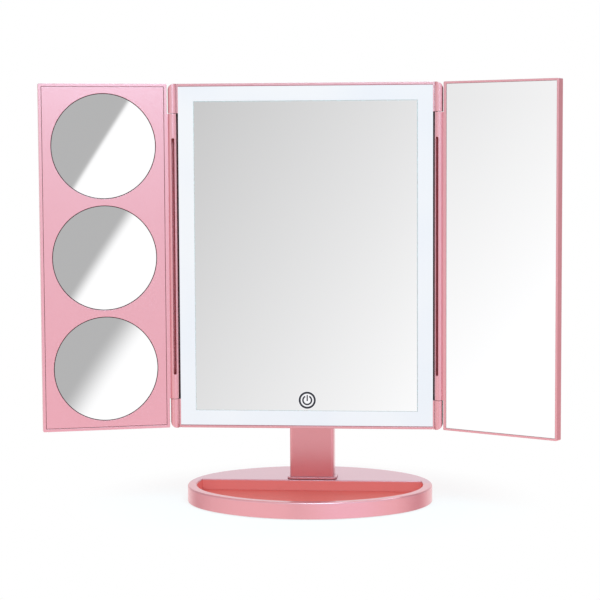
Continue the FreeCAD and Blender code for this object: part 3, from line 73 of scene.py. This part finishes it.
# The screens round the studio, by the angle to the right of -Y in degrees: display levels, and tints, whose
# numbers are factors up to MOST_TINT
SCREEN_LEVELS = [(-180, 252), (-150, 240), (-120, 190), (-90, 222), (-63, 230), (-59, 242), (-45, 250),
                 (-13, 250), (-9.6, 196), (-8.5, 199), (-1.6, 226), (2, 250), (60, 250), (90, 222),
                 (118, 185), (150, 240), (180, 252)]
SCREEN_TINTS = [(-180, (1, 1, 1)), (-150, (1, 1, 1)), (-118, (1, 0.84, 0.86)), (-85, (1, 1, 1)),
                (5, (1, 1, 1)), (18, (1.04, 1.09, 1.2)), (50, (1.04, 1.09, 1.2)), (68, (1, 1, 1)),
                (95, (1, 0.92, 0.93)), (118, (1, 0.72, 0.76)), (148, (1, 1, 1)), (180, (1, 1, 1))]
MOST_TINT = 1.25
SCREEN_GAMMA = 2.2

# How the screens change with the angle above the horizon: nothing at a band's first angle, in degrees, and
# all of it at the second. The tints are added to a factor of one.
BRIGHTER_BELOW, BRIGHTER_BY = (1.6, -8.0), 24 / 255
COOL_ABOVE, COOL_TINT = (4.0, 14.0), (-0.12, 0.03, 0.12)
WARM_BELOW, WARM_TINT = (-9.0, -18.0), (0.2, 0.0, 0.0)

# The floor, white paper. The camera sees it as plain white by the first share near the base, and wholly from
# the second distance on.
FLOOR_REACH = 6.0
PAPER_GREY = (0.94, 0.94, 0.94, 1)
PAPER_ROUGHNESS = 0.6
PAPER_WHITE_SHARES = (0.82, 1.0)
PAPER_WHITE_DISTANCES = (0.11, 0.2)

# The cards that the round mirrors reflect: half their width in the mirror, and the slant of their edge
CARD_REACH = 50 * MM
CARD_SLANT = math.radians(56.0)
CARD_GREY = (179, 179, 179)

# Surfaces: where on the noise the two tones lie, the depth of the fine relief, the coat, and how far edges
# are rounded in the shading
TONE_STOPS = (0.3, 0.7)
GRAIN_RELIEF = 0.05 * MM
COAT_ROUGHNESS = 0.12
EDGE_ROUNDING = 0.4 * MM
ROUNDING_SAMPLES = 4

# Painted shade in gaps: how far they are felt for, the share of open sky at which a gap is fully shut and
# shaded, and how much more sky makes it open. Then the rose paint's colour of painted shade.
SHADE_REACH = 5 * MM
SHADE_SAMPLES = 12
SHADE_SHUT = 0.26
SHADE_BLEND = 0.28
ROSE_PAINTED_SHADE = (118, 52, 54)

# The faces of the base's moulding: how far up the normal points on the floor and the brim at least, and on a
# wall at most, and heights about the tray. Then the length over which the brim's painted highlight tint fades.
FLOOR_UP, BRIM_UP, WALL_UP = 0.9, 0.5, 0.6
FLOOR_SLACK = 2 * MM
WALL_BELOW_BRIM = 1.2 * MM
BRIM_DEPTH = 1 * MM
BRIM_HIGHLIGHT_FADE = 16 * MM

# Mirrors: the radius that each round one is dished to, and how close a face's own normal has to be to that of
# the dish to belong to it
MIRROR_TINT = (0.94, 0.94, 0.945, 1)
MIRROR_HAZE = 0.02
DISHES = {"round_mirror_top": 1.2, "round_mirror_middle": 0.9, "round_mirror_bottom": 0.6}
DISH_AGREEMENT = 0.98

# Light panel
PANEL_GLOW = 0.92
PANEL_BODY = (0.05, 0.05, 0.05, 1)

# Fine lines on the front of the head: the widths of a line of painted shade under the centre frame's lip and of
# a grey line round the centre mirror, and how far thin layers lie before what they cover
SHADE_LINE_WIDTH = 0.5 * MM
EDGE_WIDTH = 0.36 * MM
LAYER = 0.02 * MM

# The touch mark: how far it lies to the right of its sensor, radii, angles from +X in degrees, and the bar's
# place from the mark's middle
MARK_SHIFT = 0.9 * MM
PATCH_RADIUS = 7.3 * MM
RING_RADII = (5.2 * MM, 6.8 * MM)
ARC_RADII = (2.75 * MM, 4.05 * MM)
ARC_ANGLES = (118, 422)
FULL_TURN = (0, 360)
BAND_STEPS = 96
BAR_HALF, BAR_FOOT, BAR_TOP = 0.5 * MM, -0.7 * MM, 4.2 * MM


# ---------------------------------------------------------------------------------------------------------
# Helpers
# ---------------------------------------------------------------------------------------------------------
def linear(red, green, blue):
    """A colour from 0 to 255 as Blender's linear one."""
    out = []
    for value in (red, green, blue):
        c = value / 255
        out.append(c / 12.92 if c <= 0.04045 else ((c + 0.055) / 1.055) ** 2.4)
    return (*out, 1.0)


def new_mesh(name, vertices, faces, material):
    """A mesh object in the scene."""
    mesh = bpy.data.meshes.new(name)
    mesh.from_pydata(vertices, [], faces)
    mesh.validate()
    mesh.materials.append(material)
    thing = bpy.data.objects.new(name, mesh)
    bpy.context.scene.collection.objects.link(thing)
    return thing


def square(name, half, material):
    """A flat square about the origin, facing up."""
    corners = [(-half, -half, 0), (half, -half, 0), (half, half, 0), (-half, half, 0)]
    return new_mesh(name, corners, [(0, 1, 2, 3)], material)


def upright_corners(left, right, bottom, top, depth):
    """The corners of an upright rectangle that looks to the front, all at one depth."""
    return [(left, depth, bottom), (right, depth, bottom), (right, depth, top), (left, depth, top)]


def middle_of(name):
    """The middle of a CAD node's box."""
    low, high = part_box(name)
    return (low + high) / 2


def node(tree, kind, inputs=None, **settings):
    """Adds a shader node and sets its properties. Each input gets a plain value or another node's output."""
    made = tree.nodes.new(kind)
    for key, value in settings.items():
        setattr(made, key, value)
    for key, value in (inputs or {}).items():
        if isinstance(value, bpy.types.NodeSocket):
            tree.links.new(value, made.inputs[key])
        else:
            made.inputs[key].default_value = value
    return made


def new_material(name):
    """An empty node material: (material, node tree)."""
    material = bpy.data.materials.new(name)
    material.use_nodes = True
    material.node_tree.nodes.clear()
    return material, material.node_tree


def maths(tree, operation, *inputs, **settings):
    """The result of a maths node."""
    made = node(tree, "ShaderNodeMath", dict(enumerate(inputs)), operation=operation, **settings)
    return made.outputs["Value"]


def vector_maths(tree, operation, *inputs):
    """The result of a vector maths node, which is a number for a length or a dot product."""
    made = node(tree, "ShaderNodeVectorMath", dict(enumerate(inputs)), operation=operation)
    return made.outputs["Value" if operation in ("LENGTH", "DOT_PRODUCT") else "Vector"]


def remap(tree, source, before=(0.0, 1.0), after=(0.0, 1.0), smooth=False):
    """A number moved from one range to another and kept inside it."""
    made = node(tree, "ShaderNodeMapRange", {"Value": source, "From Min": before[0], "From Max": before[1],
                                             "To Min": after[0], "To Max": after[1]},
                interpolation_type="SMOOTHSTEP" if smooth else "LINEAR")
    return made.outputs["Result"]


def ramp(tree, source, stops):
    """A colour ramp fed by a number, with (position, colour) stops."""
    made = node(tree, "ShaderNodeValToRGB", {"Fac": source})
    elements = made.color_ramp.elements
    while len(elements) < len(stops):
        elements.new(0.5)
    for element, (position, colour) in zip(elements, stops):
        element.position = position
        element.color = colour
    return made.outputs["Color"]


def mix(tree, kind, share, first, second):
    """Mixes two numbers, vectors or colours: all of the first at a share of 0, all of the second at 1."""
    sockets = {"FLOAT": (2, 3, 0), "VECTOR": (4, 5, 1), "RGBA": (6, 7, 2)}
    first_input, second_input, output = sockets[kind]
    made = node(tree, "ShaderNodeMix", {0: share, first_input: first, second_input: second}, data_type=kind)
    return made.outputs[output]


def mix_shaders(tree, share, first, second):
    """Mixes two shader nodes' results: all of the first at a share of 0, all of the second at 1."""
    return node(tree, "ShaderNodeMixShader", {"Fac": share, 1: first.outputs[0], 2: second.outputs[0]})


# ---------------------------------------------------------------------------------------------------------
# Camera and stage
# ---------------------------------------------------------------------------------------------------------
def make_camera():
    """A long lens, a little to the right of the mirror's front and looking slightly down."""
    data = bpy.data.cameras.new("camera")
    data.sensor_width = CAMERA_SENSOR
    data.lens = CAMERA_LENS
    data.clip_end = CAMERA_SIGHT
    camera = bpy.data.objects.new("camera", data)
    bpy.context.scene.collection.objects.link(camera)
    turn = Matrix.Rotation(math.radians(CAMERA_YAW), 4, "Z")
    lean = Matrix.Rotation(math.radians(90 - CAMERA_DOWN), 4, "X")
    roll = Matrix.Rotation(math.radians(CAMERA_ROLL), 4, "Z")
    camera.matrix_world = Matrix.Translation(CAMERA_PLACE) @ turn @ lean @ roll
    bpy.context.scene.camera = camera


def direction_angles(tree):
    """Two numbers of a ray into the world: degrees to the right of -Y, and degrees above the horizon."""
    coords = node(tree, "ShaderNodeTexCoord")
    split = node(tree, "ShaderNodeSeparateXYZ", {"Vector": coords.outputs["Generated"]})
    forward = maths(tree, "MULTIPLY", split.outputs["Y"], -1.0)
    around = maths(tree, "ARCTAN2", split.outputs["X"], forward)
    above = maths(tree, "ARCSINE", split.outputs["Z"])
    return maths(tree, "DEGREES", around), maths(tree, "DEGREES", above)


def make_world():
    """White for the camera, plain light for the paint, and a studio of pale screens for what reflects."""
    world = bpy.data.worlds.new("studio")
    world.use_nodes = True
    bpy.context.scene.world = world
    tree = world.node_tree
    tree.nodes.clear()
    around, above = direction_angles(tree)
    turn = remap(tree, around, (-180.0, 180.0))
    levels = [((angle + 180) / 360, (level / 255,) * 3 + (1,)) for angle, level in SCREEN_LEVELS]
    factors = [((angle + 180) / 360, tuple(part / MOST_TINT for part in tint) + (1,))
               for angle, tint in SCREEN_TINTS]
    screens = ramp(tree, turn, levels)
    tints = ramp(tree, turn, factors)
    brighter = remap(tree, above, BRIGHTER_BELOW, (0.0, BRIGHTER_BY))
    level = maths(tree, "ADD", screens, brighter, use_clamp=True)
    light = maths(tree, "POWER", level, SCREEN_GAMMA)
    cool = vector_maths(tree, "MULTIPLY_ADD", remap(tree, above, COOL_ABOVE), COOL_TINT, (1, 1, 1))
    warm = vector_maths(tree, "MULTIPLY_ADD", remap(tree, above, WARM_BELOW), WARM_TINT, cool)
    toned = vector_maths(tree, "MULTIPLY", light, warm)
    tinted = vector_maths(tree, "MULTIPLY", toned, tints)
    mirrored = node(tree, "ShaderNodeBackground", {"Color": tinted, "Strength": MIRRORED_LIGHT * MOST_TINT})
    plain = node(tree, "ShaderNodeBackground", {"Color": linear(*ROOM_COLOUR), "Strength": ROOM_LIGHT})
    white = node(tree, "ShaderNodeBackground", {"Color": PURE_WHITE})
    path = node(tree, "ShaderNodeLightPath")
    lit = mix_shaders(tree, path.outputs["Is Glossy Ray"], plain, mirrored)
    seen = mix_shaders(tree, path.outputs["Is Camera Ray"], lit, white)
    node(tree, "ShaderNodeOutputWorld", {"Surface": seen.outputs["Shader"]})


def make_floor():
    """White paper: it keeps the object's shadow near the base, turns to plain white away from it, and is
    clear to reflections, which then see the studio's screens on below the horizon."""
    material, tree = new_material("floor_paper")
    diffuse = node(tree, "ShaderNodeBsdfDiffuse", {"Color": PAPER_GREY, "Roughness": PAPER_ROUGHNESS})
    glow = node(tree, "ShaderNodeEmission", {"Color": PURE_WHITE})
    clear = node(tree, "ShaderNodeBsdfTransparent")
    path = node(tree, "ShaderNodeLightPath")
    coords = node(tree, "ShaderNodeTexCoord")
    distance = vector_maths(tree, "LENGTH", coords.outputs["Object"])
    white = remap(tree, distance, PAPER_WHITE_DISTANCES, PAPER_WHITE_SHARES, smooth=True)
    share = maths(tree, "MULTIPLY", path.outputs["Is Camera Ray"], white)
    paper = mix_shaders(tree, share, diffuse, glow)
    either = mix_shaders(tree, path.outputs["Is Glossy Ray"], paper, clear)
    node(tree, "ShaderNodeOutputMaterial", {"Surface": either.outputs["Shader"]})
    floor = square("floor", FLOOR_REACH, material)


def make_card(name, mirror, distance, edge, softness):
    """A two-tone card on the line that one round mirror reflects, seen only in reflections. In the mirror it
    is grey at the upper left and white at the lower right, and its slanted edge lies at the given place."""
    middle = middle_of(mirror)
    sight = middle - Vector(CAMERA_PLACE)
    away = sight.length
    sight.normalize()
    ray = sight - 2 * sight.dot(WING_FACING) * WING_FACING
    spread = 1 + distance / away - 2 * distance / DISHES[mirror]
    material, tree = new_material(name + "_tone")
    coords = node(tree, "ShaderNodeTexCoord")
    slanted = Vector((math.sin(CARD_SLANT), -math.cos(CARD_SLANT), 0)) / spread
    across = vector_maths(tree, "DOT_PRODUCT", coords.outputs["Object"], slanted)
    step = remap(tree, across, (edge - softness, edge + softness), smooth=True)
    tone = ramp(tree, step, [(0.0, linear(*CARD_GREY)), (1.0, PURE_WHITE)])
    glow = node(tree, "ShaderNodeEmission", {"Color": tone, "Strength": MIRRORED_LIGHT})
    clear = node(tree, "ShaderNodeBsdfTransparent")
    path = node(tree, "ShaderNodeLightPath")
    either = mix_shaders(tree, path.outputs["Is Glossy Ray"], clear, glow)
    node(tree, "ShaderNodeOutputMaterial", {"Surface": either.outputs["Shader"]})
    card = square(name, CARD_REACH * abs(spread), material)
    right = Vector((-ray.y, ray.x, 0)).normalized()
    axes = Matrix((right, right.cross(-ray), ray)).transposed()
    card.matrix_world = Matrix.Translation(middle + ray * distance) @ axes.to_4x4()


def make_lamp(name, place, target, size, power, colour):
    """A square soft box aimed at a point. Its colour is a factor for each channel."""
    data = bpy.data.lights.new(name, "AREA")
    data.shape = "SQUARE"
    data.size = size
    data.energy = power
    data.color = colour
    lamp = bpy.data.objects.new(name, data)
    bpy.context.scene.collection.objects.link(lamp)
    direction = Vector(target) - Vector(place)
    lamp.matrix_world = Matrix.Translation(place) @ direction.to_track_quat("-Z", "Y").to_matrix().to_4x4()


# ---------------------------------------------------------------------------------------------------------
# Materials
# ---------------------------------------------------------------------------------------------------------
def surface(name, colour, second, patch, roughness, spread, grain, bump, metallic=0.0, coat=0.0, level=0.5,
            rounding=0.0, painted_shade=None, shut=SHADE_SHUT, ahead=None):
    """A moulded, painted or metal surface: two close tones, a spread of roughness and a fine grain. Rounding
    softens its edges in the shading. With a colour of painted shade, its narrow gaps and inner corners are dull
    and are painted darker towards that colour, which they reach where the share of open sky is down to shut. A
    tone for the front of the base is a painted highlight tint: it fades to the two tones up to the tray's back
    edge."""
    material, tree = new_material(name)
    place = node(tree, "ShaderNodeTexCoord").outputs["Object"]
    clouds = node(tree, "ShaderNodeTexNoise", {"Vector": place, "Scale": patch, "Detail": 3.0,
                                               "Roughness": 0.55})
    fine = node(tree, "ShaderNodeTexNoise", {"Vector": place, "Scale": grain, "Detail": 2.0,
                                             "Roughness": 0.6})
    tone = ramp(tree, clouds.outputs["Fac"], list(zip(TONE_STOPS, (linear(*colour), linear(*second)))))
    dullness = remap(tree, fine.outputs["Fac"], after=(roughness - spread, roughness + spread))
    # Painted highlight: a warmer tone on the front of the base, fading out towards the tray's back edge
    if ahead:
        split = node(tree, "ShaderNodeSeparateXYZ", {"Vector": place})
        tray_back = TRAY_BOX[1][1]
        behind = remap(tree, split.outputs["Y"], (tray_back - BRIM_HIGHLIGHT_FADE, tray_back), smooth=True)
        tone = mix(tree, "RGBA", behind, linear(*ahead), tone)
    # Painted shade: gaps and inner corners that ambient occlusion finds go dull and darker, towards the shade
    # colour
    if painted_shade:
        sky = node(tree, "ShaderNodeAmbientOcclusion", {"Distance": SHADE_REACH}, samples=SHADE_SAMPLES)
        open_share = remap(tree, sky.outputs["AO"], (shut, shut + SHADE_BLEND))
        tone = mix(tree, "RGBA", open_share, linear(*painted_shade), tone)
        dullness = mix(tree, "FLOAT", open_share, 1.0, dullness)
    relief = node(tree, "ShaderNodeBump", {"Strength": bump, "Distance": GRAIN_RELIEF,
                                           "Height": fine.outputs["Fac"]})
    if rounding:
        soft = node(tree, "ShaderNodeBevel", {"Radius": rounding}, samples=ROUNDING_SAMPLES)
        tree.links.new(soft.outputs["Normal"], relief.inputs["Normal"])
    shader = node(tree, "ShaderNodeBsdfPrincipled", {
        "Base Color": tone, "Roughness": dullness, "Normal": relief.outputs["Normal"], "Metallic": metallic,
        "Coat Weight": coat, "Coat Roughness": COAT_ROUGHNESS, "Specular IOR Level": level})
    node(tree, "ShaderNodeOutputMaterial", {"Surface": shader.outputs["BSDF"]})
    return material


def light_panel():
    """Frosted acrylic, lit from behind, with a faint cloudy unevenness."""
    material, tree = new_material("frosted_light_panel")
    place = node(tree, "ShaderNodeTexCoord").outputs["Object"]
    noise = node(tree, "ShaderNodeTexNoise", {"Vector": place, "Scale": 14.0, "Detail": 1.0})
    tone = ramp(tree, noise.outputs["Fac"], [(0.35, linear(240, 243, 250)), (0.65, linear(246, 247, 251))])
    shader = node(tree, "ShaderNodeBsdfPrincipled", {
        "Base Color": PANEL_BODY, "Roughness": 0.5, "Specular IOR Level": 0.1,
        "Emission Color": tone, "Emission Strength": PANEL_GLOW})
    node(tree, "ShaderNodeOutputMaterial", {"Surface": shader.outputs["BSDF"]})
    return material


def dish_normal(tree, place, centre):
    """On the faces of a dish, the normal towards the dish's centre, which is given in the object's own frame,
    and elsewhere the face's own normal."""
    inward = vector_maths(tree, "SUBTRACT", centre, place)
    turned = node(tree, "ShaderNodeVectorTransform", {"Vector": inward}, vector_type="NORMAL",
                  convert_from="OBJECT", convert_to="WORLD")
    normal = vector_maths(tree, "NORMALIZE", turned.outputs["Vector"])
    geometry = node(tree, "ShaderNodeNewGeometry")
    agreement = vector_maths(tree, "DOT_PRODUCT", normal, geometry.outputs["True Normal"])
    on_dish = maths(tree, "GREATER_THAN", agreement, DISH_AGREEMENT)
    return mix(tree, "VECTOR", on_dish, geometry.outputs["Normal"], normal)


def mirror_glass(name, dish=None):
    """Silvered glass: a clean mirror with the faintest unevenness in its polish. A dished one gets the true
    normal of its sphere, whose centre is given in the object's own frame."""
    material, tree = new_material(name)
    place = node(tree, "ShaderNodeTexCoord").outputs["Object"]
    noise = node(tree, "ShaderNodeTexNoise", {"Vector": place, "Scale": 9.0, "Detail": 2.0})
    haze = remap(tree, noise.outputs["Fac"], after=(0.0, MIRROR_HAZE))
    shader = node(tree, "ShaderNodeBsdfPrincipled", {"Base Color": MIRROR_TINT, "Metallic": 1.0,
                                                     "Roughness": haze})
    if dish:
        tree.links.new(dish_normal(tree, place, dish), shader.inputs["Normal"])
    node(tree, "ShaderNodeOutputMaterial", {"Surface": shader.outputs["BSDF"]})
    return material


def dished_mirror(mirror):
    """Mirror glass for a round mirror, whose front is hollow to a sphere."""
    centre = middle_of(mirror) + WING_FACING * DISHES[mirror]
    return mirror_glass(mirror + "_glass", centre)


def rose_paint(name, painted_shade, **special):
    """The satin rose-gold paint, with the colour of the painted shade in its gaps."""
    return surface(name, (227, 160, 166), (229, 163, 169), patch=6.0, roughness=0.31, spread=0.04,
                   grain=1800.0, bump=0.25, metallic=0.85, coat=0.28, rounding=EDGE_ROUNDING,
                   painted_shade=painted_shade, **special)


def tray_paint(name, colour, second):
    """The duller paint inside the tray, whose gaps go towards a colour of painted shade."""
    return surface(name, colour, second, patch=8.0, roughness=0.55, spread=0.05, grain=1800.0, bump=0.3,
                   level=0.06, rounding=EDGE_ROUNDING, painted_shade=(208, 96, 92))


ROSE = rose_paint("rose_gold_paint", ROSE_PAINTED_SHADE)
# Copies of the rose paint with other painted shade in their gaps: near-black on the head's frame and housing, for
# the slit beside the hinge barrels, and lighter on the wings' frames
ROSE_DARK_SHADE = rose_paint("rose_gold_paint_shaded", (44, 4, 6), shut=0.44)
ROSE_LIGHT_SHADE = rose_paint("rose_gold_paint_light_shade", (210, 108, 112))
# The brim's copy has a painted highlight: a warmer tone at the front of the base
BRIM_ROSE_HIGHLIGHT = rose_paint("rose_gold_paint_brim_highlight", ROSE_PAINTED_SHADE, ahead=(237, 153, 152))
# The tray's paint in two copies: paler on the walls as painted light, and darker on the floor, which the lamp
# lights more, as painted shade
TRAY_WALL_PAINTED_LIGHT = tray_paint("rose_tray_wall_painted_light", (248, 143, 137), (250, 147, 140))
TRAY_FLOOR_PAINTED_SHADE = tray_paint("rose_tray_floor_painted_shade", (237, 114, 105), (239, 117, 108))
MIRROR = mirror_glass("silvered_glass")
PANEL = light_panel()
STEEL = surface("zinc_plated_steel", (176, 178, 182), (190, 190, 194), patch=40.0, roughness=0.3, spread=0.08,
                grain=900.0, bump=0.2, metallic=1.0)
PIN = surface("polished_steel", (200, 200, 204), (208, 208, 210), patch=40.0, roughness=0.16, spread=0.04,
              grain=900.0, bump=0.1, metallic=1.0)
RUBBER = surface("grey_rubber", (52, 52, 54), (62, 62, 64), patch=30.0, roughness=0.8, spread=0.1,
                 grain=1500.0, bump=0.6)
BLACK = surface("dark_moulding", (40, 40, 43), (50, 50, 53), patch=20.0, roughness=0.5, spread=0.08,
                grain=1500.0, bump=0.3)
WHITE = surface("white_moulding", (222, 222, 222), (232, 232, 232), patch=20.0, roughness=0.45, spread=0.06,
                grain=1500.0, bump=0.2)
FOAM = surface("foam_tape", (30, 30, 32), (44, 44, 46), patch=300.0, roughness=0.9, spread=0.05,
               grain=2500.0, bump=0.8)
BOARD = surface("solder_mask", (28, 96, 58), (34, 106, 66), patch=60.0, roughness=0.35, spread=0.06,
                grain=1200.0, bump=0.2)
PHOSPHOR = surface("led_phosphor", (250, 240, 190), (252, 246, 214), patch=60.0, roughness=0.4, spread=0.05,
                   grain=1500.0, bump=0.2)
SLEEVE = surface("cell_sleeve", (60, 66, 78), (72, 78, 90), patch=50.0, roughness=0.3, spread=0.05,
                 grain=1200.0, bump=0.1, coat=0.4)
NICKEL = surface("nickel_plate", (205, 203, 198), (214, 212, 208), patch=60.0, roughness=0.22, spread=0.05,
                 grain=900.0, bump=0.1, metallic=1.0)
NYLON = surface("nylon", (214, 208, 196), (222, 217, 206), patch=60.0, roughness=0.45, spread=0.06,
                grain=1500.0, bump=0.2)

BY_SLOT = {"rose_plastic": ROSE, "mirror_glass": MIRROR, "light_panel": PANEL, "foam_tape": FOAM,
           "non_slip_rubber": RUBBER, "steel": STEEL, "hinge_steel": PIN, "white_plastic": WHITE,
           "dark_plastic": BLACK, "circuit_board": BOARD, "led_white": PHOSPHOR, "cell_wrap": SLEEVE,
           "contact_metal": NICKEL, "washer_plastic": NYLON}
# Nodes whose rose paint has darker or lighter painted shade in its gaps
BY_NODE = {"head_front_frame": ROSE_DARK_SHADE, "head_rear_housing": ROSE_DARK_SHADE,
           "left_wing_frame": ROSE_LIGHT_SHADE, "right_wing_frame": ROSE_LIGHT_SHADE}


def add_material(mesh, material):
    """Adds a material to a mesh and gives its index there."""
    mesh.materials.append(material)
    return len(mesh.materials) - 1


def line_tray(mesh):
    """The other paints of the base's moulding: the tray's floor, darker as painted shade, its walls that face
    inwards, paler as painted light, and the upward faces at the height of the brim, with a warmer painted
    highlight at the front."""
    wall, floor, brim = [add_material(mesh, material) for material in (TRAY_WALL_PAINTED_LIGHT, TRAY_FLOOR_PAINTED_SHADE, BRIM_ROSE_HIGHLIGHT)]
    middle = Vector(((TRAY_BOX[0][0] + TRAY_BOX[1][0]) / 2, (TRAY_BOX[0][1] + TRAY_BOX[1][1]) / 2, 0))
    floor_height, brim_height = TRAY_BOX[0][2], TRAY_BOX[1][2]
    for face in mesh.polygons:
        place, facing = face.center, face.normal
        inward = facing.dot(Vector((place.x, place.y, 0)) - middle) < 0
        beside_tray = floor_height - FLOOR_SLACK < place.z < brim_height - WALL_BELOW_BRIM
        if inward and abs(facing.z) < WALL_UP and beside_tray:
            face.material_index = wall
        elif facing.z > FLOOR_UP and place.z < floor_height + FLOOR_SLACK:
            face.material_index = floor
        elif facing.z > BRIM_UP and place.z > brim_height - BRIM_DEPTH:
            face.material_index = brim


def dress_nodes():
    """Gives every CAD node its own material, where it has one, or the material of its slot."""
    for entry in frame["record"]["subparts"]:
        name = entry["node"]
        material = BY_NODE.get(name, BY_SLOT[entry["material_slot"]])
        if name in DISHES:
            material = dished_mirror(name)
        mesh = NODES[name].data
        mesh.materials.clear()
        mesh.materials.append(material)
        for face in mesh.polygons:
            face.material_index = 0
    line_tray(NODES["base_shell"].data)


# ---------------------------------------------------------------------------------------------------------
# What is added to the head
# ---------------------------------------------------------------------------------------------------------
def put_on_head(piece):
    """Makes an added piece move with the head."""
    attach(piece, "head")


def make_panel_shade_line():
    """Painted shade where the centre frame's lip meets the light panel: a dark line at the top and the bottom."""
    low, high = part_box("light_diffuser")
    depth = low.y - LAYER
    points, faces = [], []
    for edge, inset in ((high.z, -SHADE_LINE_WIDTH), (low.z, SHADE_LINE_WIDTH)):
        first = len(points)
        points += upright_corners(low.x, high.x, edge, edge + inset, depth)
        faces.append((first, first + 1, first + 2, first + 3))
    # Painted shade: the dark rose strip stands for the shade under the centre frame's lip
    joint = surface("panel_shade_line", (158, 88, 96), (164, 94, 102), patch=200.0, roughness=0.6, spread=0.05,
                    grain=2000.0, bump=0.2)
    put_on_head(new_mesh("light_panel_shade_line", points, faces, joint))


def make_mirror_edge():
    """A fine grey line round the centre mirror's face, at its edge."""
    low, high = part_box("main_mirror")
    rings = []
    for inset in (0, EDGE_WIDTH):
        rings += upright_corners(low.x + inset, high.x - inset, low.z + inset, high.z - inset, low.y - LAYER)
    faces = [(k, (k + 1) % 4, (k + 1) % 4 + 4, k + 4) for k in range(4)]
    ground = surface("mirror_edge_grey", (184, 184, 182), (190, 190, 187), patch=120.0, roughness=0.5,
                     spread=0.05, grain=2500.0, bump=0.2)
    put_on_head(new_mesh("mirror_edge_line", rings, faces, ground))


def band(name, centre, radii, angles, depth, material):
    """A flat printed band of a ring, between two angles."""
    start, end = angles
    vertices = []
    for k in range(BAND_STEPS + 1):
        angle = math.radians(start + (end - start) * k / BAND_STEPS)
        for radius in radii:
            vertices.append((centre.x + radius * math.cos(angle), depth, centre.z + radius * math.sin(angle)))
    faces = [(2 * k, 2 * k + 1, 2 * k + 3, 2 * k + 2) for k in range(BAND_STEPS)]
    return new_mesh(name, vertices, faces, material)


def patch_light():
    """The light that shines through the clear patch behind the mark."""
    material, tree = new_material("touch_mark_light")
    noise = node(tree, "ShaderNodeTexNoise", {"Scale": 300.0})
    tones = (linear(247, 248, 252), linear(252, 252, 254))
    tone = ramp(tree, noise.outputs["Fac"], list(zip(TONE_STOPS, tones)))
    glow = node(tree, "ShaderNodeEmission", {"Color": tone})
    node(tree, "ShaderNodeOutputMaterial", {"Surface": glow.outputs["Emission"]})
    return material


def make_touch_mark():
    """Dark printed ring and power symbol in a small patch that the light shines through."""
    ink = surface("touch_mark_ink", (24, 24, 34), (30, 30, 40), patch=200.0, roughness=0.4, spread=0.05,
                  grain=2000.0, bump=0.1)
    glass_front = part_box("main_mirror")[0].y
    light_depth, ink_depth = glass_front - LAYER, glass_front - 2 * LAYER
    centre = middle_of("touch_sensor") + Vector((MARK_SHIFT, 0, 0))
    patch = band("touch_mark_patch", centre, (0.0, PATCH_RADIUS), FULL_TURN, light_depth, patch_light())
    ring = band("touch_mark_ring", centre, RING_RADII, FULL_TURN, ink_depth, ink)
    arc = band("touch_mark_arc", centre, ARC_RADII, ARC_ANGLES, ink_depth, ink)
    corners = upright_corners(centre.x - BAR_HALF, centre.x + BAR_HALF,
                              centre.z + BAR_FOOT, centre.z + BAR_TOP, ink_depth)
    bar = new_mesh("touch_mark_bar", corners, [(0, 1, 2, 3)], ink)
    put_on_head(patch)
    for piece in (ring, arc, bar):
        put_on_head(piece)


make_camera()
make_world()
make_floor()
make_card("card_top", "round_mirror_top", distance=2.0, edge=-2.3 * MM, softness=2.1 * MM)
make_card("card_middle", "round_mirror_middle", distance=1.3, edge=-2.9 * MM, softness=5.9 * MM)
make_card("card_bottom", "round_mirror_bottom", distance=0.68, edge=-2.7 * MM, softness=13.5 * MM)
make_lamp("key", place=(0.12, -0.62, 0.68), target=(-0.12, -0.05, 0.3), size=0.42, power=4.0,
          colour=(0.34, 0.9, 1.05))
dress_nodes()
make_panel_shade_line()
make_mirror_edge()
make_touch_mark()
bpy.context.scene.view_settings.view_transform = "Standard"
